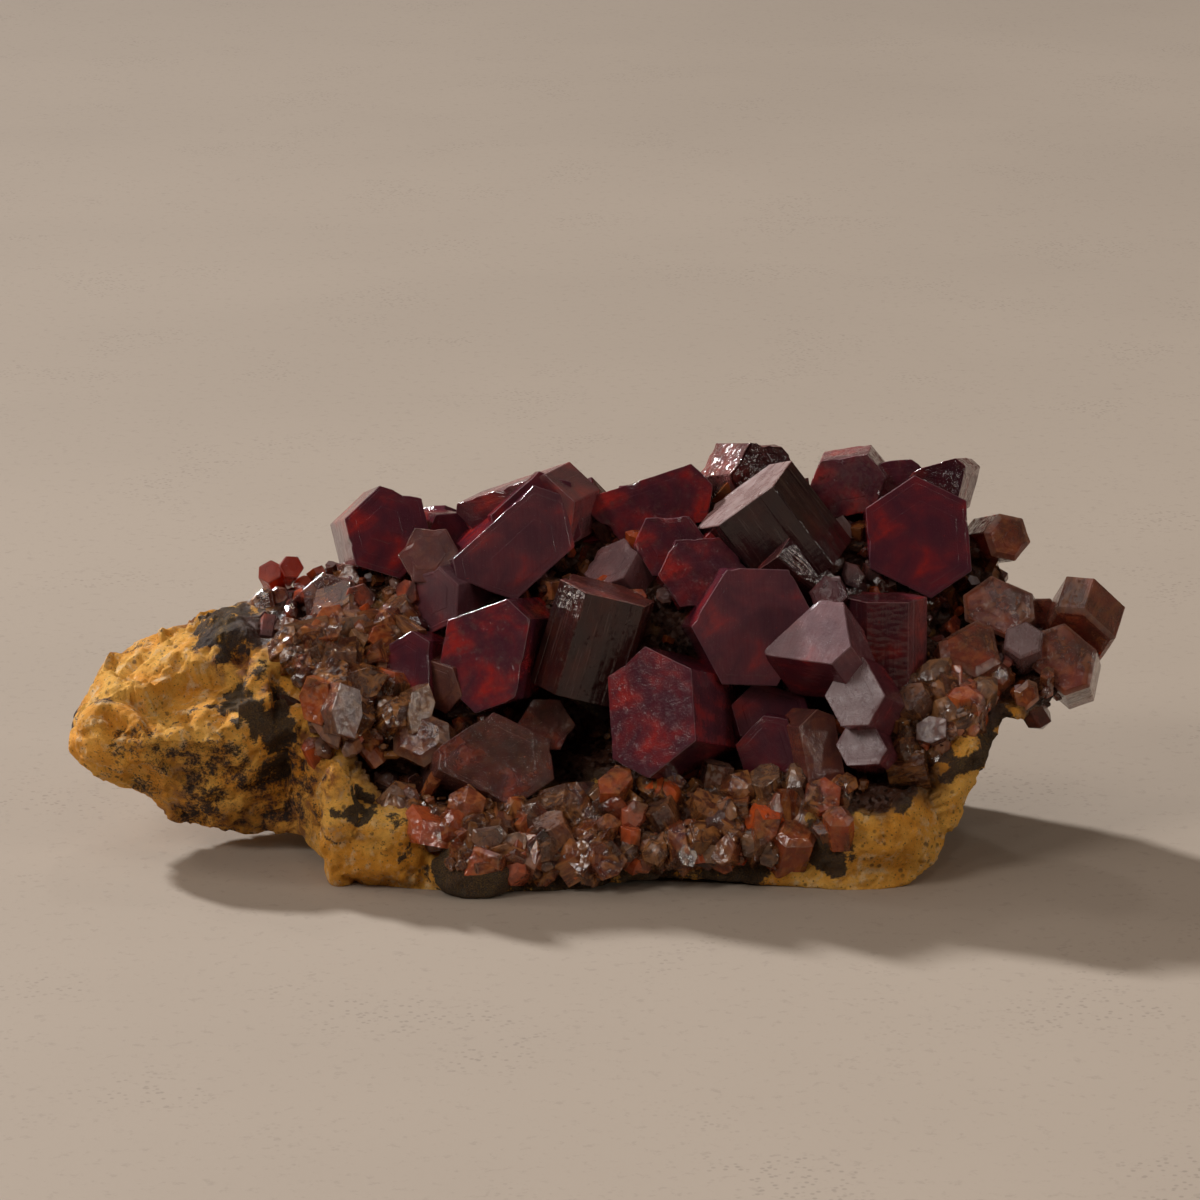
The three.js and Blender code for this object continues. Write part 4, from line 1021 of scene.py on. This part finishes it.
def on_grid(along, around):
    """Points and normals of the smooth rock, with along and around from 0 to 1."""
    i = np.clip(along, 0, 1) * (ROCK_ALONG - 1)
    j = (around % 1) * ROCK_AROUND
    i0 = np.minimum(i.astype(int), ROCK_ALONG - 2)
    j0 = j.astype(int) % ROCK_AROUND
    u, v = (i - i0)[:, None], (j - np.floor(j))[:, None]
    out = []
    for field in (GRID, NORMALS):
        near = field[i0, j0] * (1 - v) + field[i0, (j0 + 1) % ROCK_AROUND] * v
        far = field[i0 + 1, j0] * (1 - v) + field[i0 + 1, (j0 + 1) % ROCK_AROUND] * v
        out.append(near * (1 - u) + far * u)
    return out[0], out[1] / np.linalg.norm(out[1], axis=1, keepdims=True)


def lump_mesh(mesh, at, size, seed, rough=0.12, turn=0):
    """Adds one lumpy ball to the rock's mesh, turned round the vertical."""
    added = bmesh.ops.create_icosphere(mesh, subdivisions=4, radius=1.0)["verts"]
    p = np.array([v.co for v in added])
    p = p * (1 + rough * roughness(p, 0.9, seed))[:, None] * np.array(size)
    turned = np.array(Matrix.Rotation(math.radians(turn), 3, "Z"))
    for vertex, place in zip(added, p @ turned.T + np.array(at)):
        vertex.co = Vector(place)


def raw_rock():
    """The rock's main form with its lumps, in one skin of even cells."""
    along = np.linspace(0, 1, ROCK_ALONG)[:, None]
    end = np.minimum(1, np.minimum(8 * along, 8 * (1 - along)))
    swell = end * roughness(GRID.reshape(-1, 3), ROCK_LUMP, 3).reshape(ROCK_ALONG, ROCK_AROUND)
    grid = GRID + NORMALS * (ROCK_ROUGHNESS * swell)[:, :, None]
    points, faces = loft(list(grid), grid[0].mean(0), grid[-1].mean(0))
    mesh = bmesh.new()
    vertices = [mesh.verts.new(p) for p in points]
    for face in faces:
        mesh.faces.new([vertices[k] for k in face])
    for spec in LUMPS.values():
        lump_mesh(mesh, *spec)
    data = bpy.data.meshes.new("raw_rock")
    mesh.to_mesh(data)
    mesh.free()
    raw = add_object("raw_rock", data)
    remesh = raw.modifiers.new("skin", "REMESH")
    remesh.mode = "VOXEL"
    remesh.voxel_size = ROCK_VOXEL
    skin = bpy.data.meshes.new_from_object(raw.evaluated_get(bpy.context.evaluated_depsgraph_get()))
    bpy.data.objects.remove(raw)
    return skin


def broken(p):
    """Height of the broken surface: chipped facets, lumps, grain and pits."""
    facets = np.zeros(len(p))
    for size, lean, seed in FACETS:
        _, way, chance = cells(p + 0.5 * layered(p, size, seed)[:, None], size, seed)
        angle = 2 * math.pi * chance
        tilt = np.column_stack([np.cos(angle), np.sin(3 * angle), np.sin(angle)])
        facets += lean * np.sum(way * tilt, axis=1)
    ridges = sum(0.6**k * np.abs(value_noise(p, 1.6 / 2**k, 21 + k)) for k in range(3))
    grain = GRAIN_DEPTH * (0.6 - ridges)
    hole, _, chance = cells(p + 0.3 * layered(p, 1.0, 2)[:, None], 2.4, 40)
    pits = np.where(chance > 0.75, smooth(0.8, 0.3, hole), 0)
    crumbs, _, chance = cells(p, 0.8, 60)
    patchy = smooth(-0.1, 0.5, layered(p, 5.0, 44, 2))
    crumbs = np.where(chance > 0.4, smooth(0.45, 0.1, crumbs), 0)
    return facets + grain - HOLE_DEPTH * pits + CRUMB_HEIGHT * patchy * crumbs


def chisel(p, normal, count, reach, depth, seed):
    """Flat broken faces: planes near the surface that cut off what stands out of them, away from ridges."""
    rng = np.random.default_rng(seed)
    for k in rng.integers(len(p), size=count):
        around = normal[np.linalg.norm(p - p[k], axis=1) < 0.25 * reach]
        if np.linalg.norm(around.mean(0)) < FLAT_ENOUGH:
            continue
        tilt = normal[k] + rng.normal(0, 0.12, 3)
        tilt /= np.linalg.norm(tilt)
        if p[k, 2] < 2.0 and tilt[2] < -0.3:
            continue
        way = p - p[k]
        out = way @ tilt + rng.uniform(0.2, 1.0) * depth
        near = np.linalg.norm(way, axis=1) < reach * rng.uniform(0.6, 1.2)
        p = p - np.where(near & (out > 0), out, 0)[:, None] * tilt
    return p


def spots(blobs, places):
    """How strongly a list of (x, y, radius, strength) spots in the picture covers each place."""
    cover = np.zeros(len(places))
    for x, y, radius, strength in blobs:
        distance = np.hypot(places[:, 0] - x, places[:, 1] - y) / radius
        spot = strength * smooth(1.25, 0.55, distance)
        cover = np.where(np.abs(spot) > np.abs(cover), spot, cover)
    return cover


def bareness(points):
    """How bare of small crystals each point is, from 0 to 1."""
    return spots([(*place, 1.0) for place in BARE], seen(points))


def build_rock():
    """The rock's piece. Gives back its points, their directions and how near the large crystals are."""
    skin = raw_rock()
    skin.calc_loop_triangles()
    p = np.array([v.co for v in skin.vertices])
    normal = np.array([v.normal for v in skin.vertices])
    faces = np.array([t.vertices for t in skin.loop_triangles])
    near = crystal_nearness(p)
    calm = smooth(0.0, 0.7, p[:, 2])
    for count, reach, depth, seed in CHISELS:
        p = chisel(p, normal, count, reach, depth, seed)
    hollow = smooth(0.1, -0.2, normal[:, 1]) * spots(PITS, seen(p) + 8 * layered(p, 1.5, 95)[:, None])
    p = p + normal * ((broken(p) - hollow) * calm + ROCK_LIFT)[:, None]
    p[:, 2] = np.maximum(p[:, 2], 0.0)
    facing = smooth(0.25, -0.25, normal[:, 1])
    shift = [30 * layered(p, 2.6, seed, 4) for seed in (91, 92)]
    places = seen(p) + np.column_stack(shift)
    # Dark stains, and painted shade in the hollows and on the wedge's underside, on faces not turned to the
    # back.
    dark = smooth(0.95, 0.2, normal[:, 1]) * spots(STAINS_AND_SHADE, places)
    behind = (1 - facing) * smooth(0.05, 0.6, layered(p, 9.0, 61, 3))
    crust = smooth(4.4, 2.0, near + 0.8 * layered(p, 2.0, 71, 2)) * smooth(3.0, 6.0, p[:, 2])
    # Rust in front, with painted shade on the wedge's underside, and random rust behind.
    rust_and_shade = np.maximum(facing * spots(RUST_AND_SHADE, places), (1 - facing) * smooth(0.1, 0.7, layered(p, 6.0, 81, 3)))
    look = np.column_stack([np.maximum(dark, 0.9 * behind), crust, rust_and_shade])
    heap = Heap()
    heap.add(p, faces, p, look)
    heap.piece("limonite_matrix", [ROCK], "limonite_rock", ["matrix"], flat=False)
    return p, normal, near


# Building


def build_crystals():
    for g, (group, crystals) in enumerate(CRYSTALS.items()):
        rng = np.random.default_rng(100 + g)
        heap = Heap()
        kind = "brown" if group in BROWN_GROUPS else "orange" if group == "orange_pair" else "red"
        for name, spec in crystals.items():
            look = {**PLAIN_LOOK, **LOOKS.get(group, {}), **LOOKS.get(f"{group}.{name}", {})}
            grow_crystal(heap, spec, look, rng)
        material = {"red": RED_CRYSTAL, "brown": BROWN_CRYSTAL, "orange": ORANGE_CRYSTAL}[kind]
        heap.piece(f"{group}_grown", [material], f"{kind}_crystal", [f"{group}_crystals"])


def crust_sheet(along, around, seed):
    """The crust under a druse: a rough sheet that sinks into the rock at its edges."""
    columns = round((along[1] - along[0]) * SPECIMEN / CRUST_CELL)
    rows = round((around[1] - around[0]) * SPECIMEN / CRUST_CELL)
    a, b = np.meshgrid(np.linspace(*along, columns), np.linspace(*around, rows), indexing="ij")
    edge = np.minimum(np.minimum(np.arange(columns), np.arange(columns)[::-1])[:, None],
                      np.minimum(np.arange(rows), np.arange(rows)[::-1])[None])
    p, normal = on_grid(a.ravel(), b.ravel())
    lift = CRUST_EDGE + CRUST_RISE * smooth(0, 5, edge.ravel()) + CRUST_ROUGHNESS * layered(p, 2.2, seed, 3)
    lift = lift - BARE_DROP * bareness(p)
    outer = p + normal * lift[:, None]
    inner = p - CRUST_DEPTH * normal
    return outer, inner, columns, rows


def sheet_solid(outer, inner, columns, rows):
    """Joins two sheets of points into one closed body."""
    points = np.concatenate([outer, inner])
    index = np.arange(columns * rows).reshape(columns, rows)
    four = (index[:-1, :-1], index[1:, :-1], index[1:, 1:], index[:-1, 1:])
    faces = quads(*(corner.ravel() for corner in four))
    under = columns * rows
    faces += [face[:, ::-1] + under for face in faces]
    rim = np.concatenate([index[0, :], index[1:, -1], index[-1, -2::-1], index[-2:0:-1, 0]])
    after = np.roll(rim, -1)
    faces += quads(rim, after, after + under, rim + under)
    return points, np.concatenate(faces)


def rock_under(rock, x, y):
    """The foremost point of the rock at a pixel of the picture."""
    points = rock[0]
    near = np.flatnonzero(np.linalg.norm(seen(points) - (x, y), axis=1) < 6)
    if len(near) == 0:
        near = np.argsort(np.linalg.norm(seen(points) - (x, y), axis=1))[:5]
    return points[near[np.argmax((points[near] - EYE) @ camera_rows()[2])]]


def grow_feature(heap, rock, feature, rng):
    """One crystal of a crust, in front of the rock at its pixel of the picture."""
    x, y, radius, turn, rise, brown, glow, dust, satin = feature
    look = dict(
        PLAIN_LOOK, brown=brown, glow=glow, dust=dust, cap=0.6 * satin, sides=0.4 * satin, wobble=0.03,
        taper=0.5 * rng.random() ** 2)
    outward = 0.9 * radius
    place = rock_under(rock, x, y) + outward * camera_rows()[2]
    sides = radius * rng.uniform(0.7, 1.15, 6)
    turn, rise = turn + rng.normal(0, 18), rise + rng.normal(0, 18)
    spec = (place, turn, rise, rng.uniform(0, 60), sides, outward + 1.2 * radius + 0.8)
    grow_crystal(heap, spec, look, rng)


def build_druse(name, rock, along, around, brown, share, seed):
    """A crust: its sheet, its small crystals and those that the picture shows one by one."""
    rng = np.random.default_rng(seed)
    heap = Heap()
    outer, inner, columns, rows = crust_sheet(along, around, seed)
    points, faces = sheet_solid(outer, inner, columns, rows)
    heap.add(points, faces, points, (0.0, 1.0, 0.3), kind=1)
    for number, least, most, spread in DRUSE_SIZES:
        count = round(share * number)
        a = rng.uniform(along[0] + 0.004, along[1] - 0.004, count)
        b = rng.uniform(around[0] + 0.006, around[1] - 0.006, count)
        base, normal = on_grid(a, b)
        lean = normal + rng.normal(0, spread, (count, 3))
        radius = rng.uniform(least, most, count)
        height = 0.5 + radius * rng.uniform(0.5, 1.5, count)
        clear = ~inside_any(base + 0.8 * normal, 0.2) & (bareness(base) < 0.5)
        browns = np.clip(brown + rng.normal(0, 0.25, count), 0, 1)
        looks = np.column_stack([browns, rng.random(count) ** 5, rng.uniform(0.2, 1.0, count)])
        chosen = [field[clear] for field in (base + 0.3 * normal, lean, radius, height, looks)]
        swarm(heap, *chosen, rng)
    for feature in FEATURES[name]:
        grow_feature(heap, rock, feature, rng)
    heap.piece(f"{name}_grown", [SMALL_CRYSTAL, ROCK], "brown_crystal", [name])


def build_fillers(rock):
    """Small crystals in the hollows between the large ones."""
    p, normal, near = rock
    rng = np.random.default_rng(77)
    fit = np.flatnonzero((near < 1.8) & (p[:, 2] > 8.5) & ~inside_any(p, 0.1))
    chosen = rng.choice(fit, FILLERS, replace=False)
    radius = 0.3 + 0.9 * rng.random(FILLERS) ** 2
    height = 0.6 + radius * rng.uniform(0.6, 1.6, FILLERS)
    lean = normal[chosen] + rng.normal(0, 0.5, (FILLERS, 3))
    looks = np.column_stack([rng.random(FILLERS) ** 1.5 * 0.7, rng.random(FILLERS) ** 3 * 0.7,
                             rng.uniform(0.0, 0.4, FILLERS)])
    heap = Heap()
    swarm(heap, p[chosen] - 0.2 * normal[chosen], lean, radius, height, looks, rng)
    heap.piece("hollow_crystals", [SMALL_CRYSTAL], "red_crystal")


build_crystals()
rock = build_rock()
for name, druse in DRUSES.items():
    build_druse(name, rock, **druse)
build_fillers(rock)


# Stage, light and camera


def floor_material():
    s = Shader("pale_floor")
    place = s.node("ShaderNodeTexCoord").outputs["Object"]
    broad = s.noise(place, 9.0, 4.0, 0.6)
    grain = s.noise(place, 900.0, 3.0, 0.7)
    colour = s.mix(s.step(broad, 0.3, 0.7), (0.350, 0.290, 0.234), (0.376, 0.312, 0.252))
    colour = s.mix(s.step(grain, 0.56, 0.70, 0.0, 0.30), colour, (0.22, 0.18, 0.145))
    specks = s.times(s.step(s.cell(place, 1500.0), 0.34, 0.16), s.step(s.noise(place, 60.0), 0.52, 0.64))
    colour = s.mix(s.times(specks, 0.35), colour, (0.13, 0.105, 0.085))
    return s.finish(Base_Color=colour, Roughness=0.7, Normal=s.bump(grain, 0.15, 0.1))


def build_stage():
    bpy.ops.mesh.primitive_plane_add(size=6.0, location=(0, 1.0, 0))
    floor = bpy.context.object
    floor.name = "floor"
    floor.data.materials.append(floor_material())


def light_sun():
    sun = bpy.data.lights.new("key", "SUN")
    sun.energy = KEY_STRENGTH
    sun.angle = math.radians(KEY_ANGLE)
    add_object("key", sun).rotation_euler = (-Vector(KEY_FROM)).to_track_quat("-Z", "Y").to_euler()


def light_panel(name, place, size, strength, colour):
    """A soft panel that faces the specimen."""
    panel = bpy.data.lights.new(name, "AREA")
    panel.shape = "RECTANGLE"
    panel.size, panel.size_y = size
    panel.energy = strength
    panel.color = colour
    holder = add_object(name, panel)
    holder.location = place
    holder.rotation_euler = (Vector(PANEL_AIM) - Vector(place)).to_track_quat("-Z", "Y").to_euler()


def light_room():
    world = bpy.data.worlds.new("room")
    bpy.context.scene.world = world
    world.use_nodes = True
    s = Nodes(world.node_tree)
    background = s.tree.nodes["Background"]
    background.inputs["Strength"].default_value = ROOM_STRENGTH
    way = s.parts(s.node("ShaderNodeTexCoord").outputs["Generated"])
    colour = ROOM_FRONT
    for axis, low, high, tint in ROOM_FADES:
        colour = s.mix(s.step(way[axis], low, high), colour, tint)
    s.tree.links.new(colour, background.inputs["Color"])


def place_camera():
    camera = bpy.data.cameras.new("camera")
    camera.lens = LENS
    camera.sensor_width = SENSOR
    camera.clip_start = 0.01
    camera.clip_end = 20.0
    holder = add_object("camera", camera)
    turned = Matrix(camera_rows().tolist()).transposed().to_4x4()
    holder.matrix_world = Matrix.Translation(Vector((EYE + MIDDLE) * MM)) @ turned
    bpy.context.scene.camera = holder


build_stage()
light_sun()
for panel in PANELS:
    light_panel(*panel)
light_room()
place_camera()
bpy.context.scene.view_settings.view_transform = "Standard"
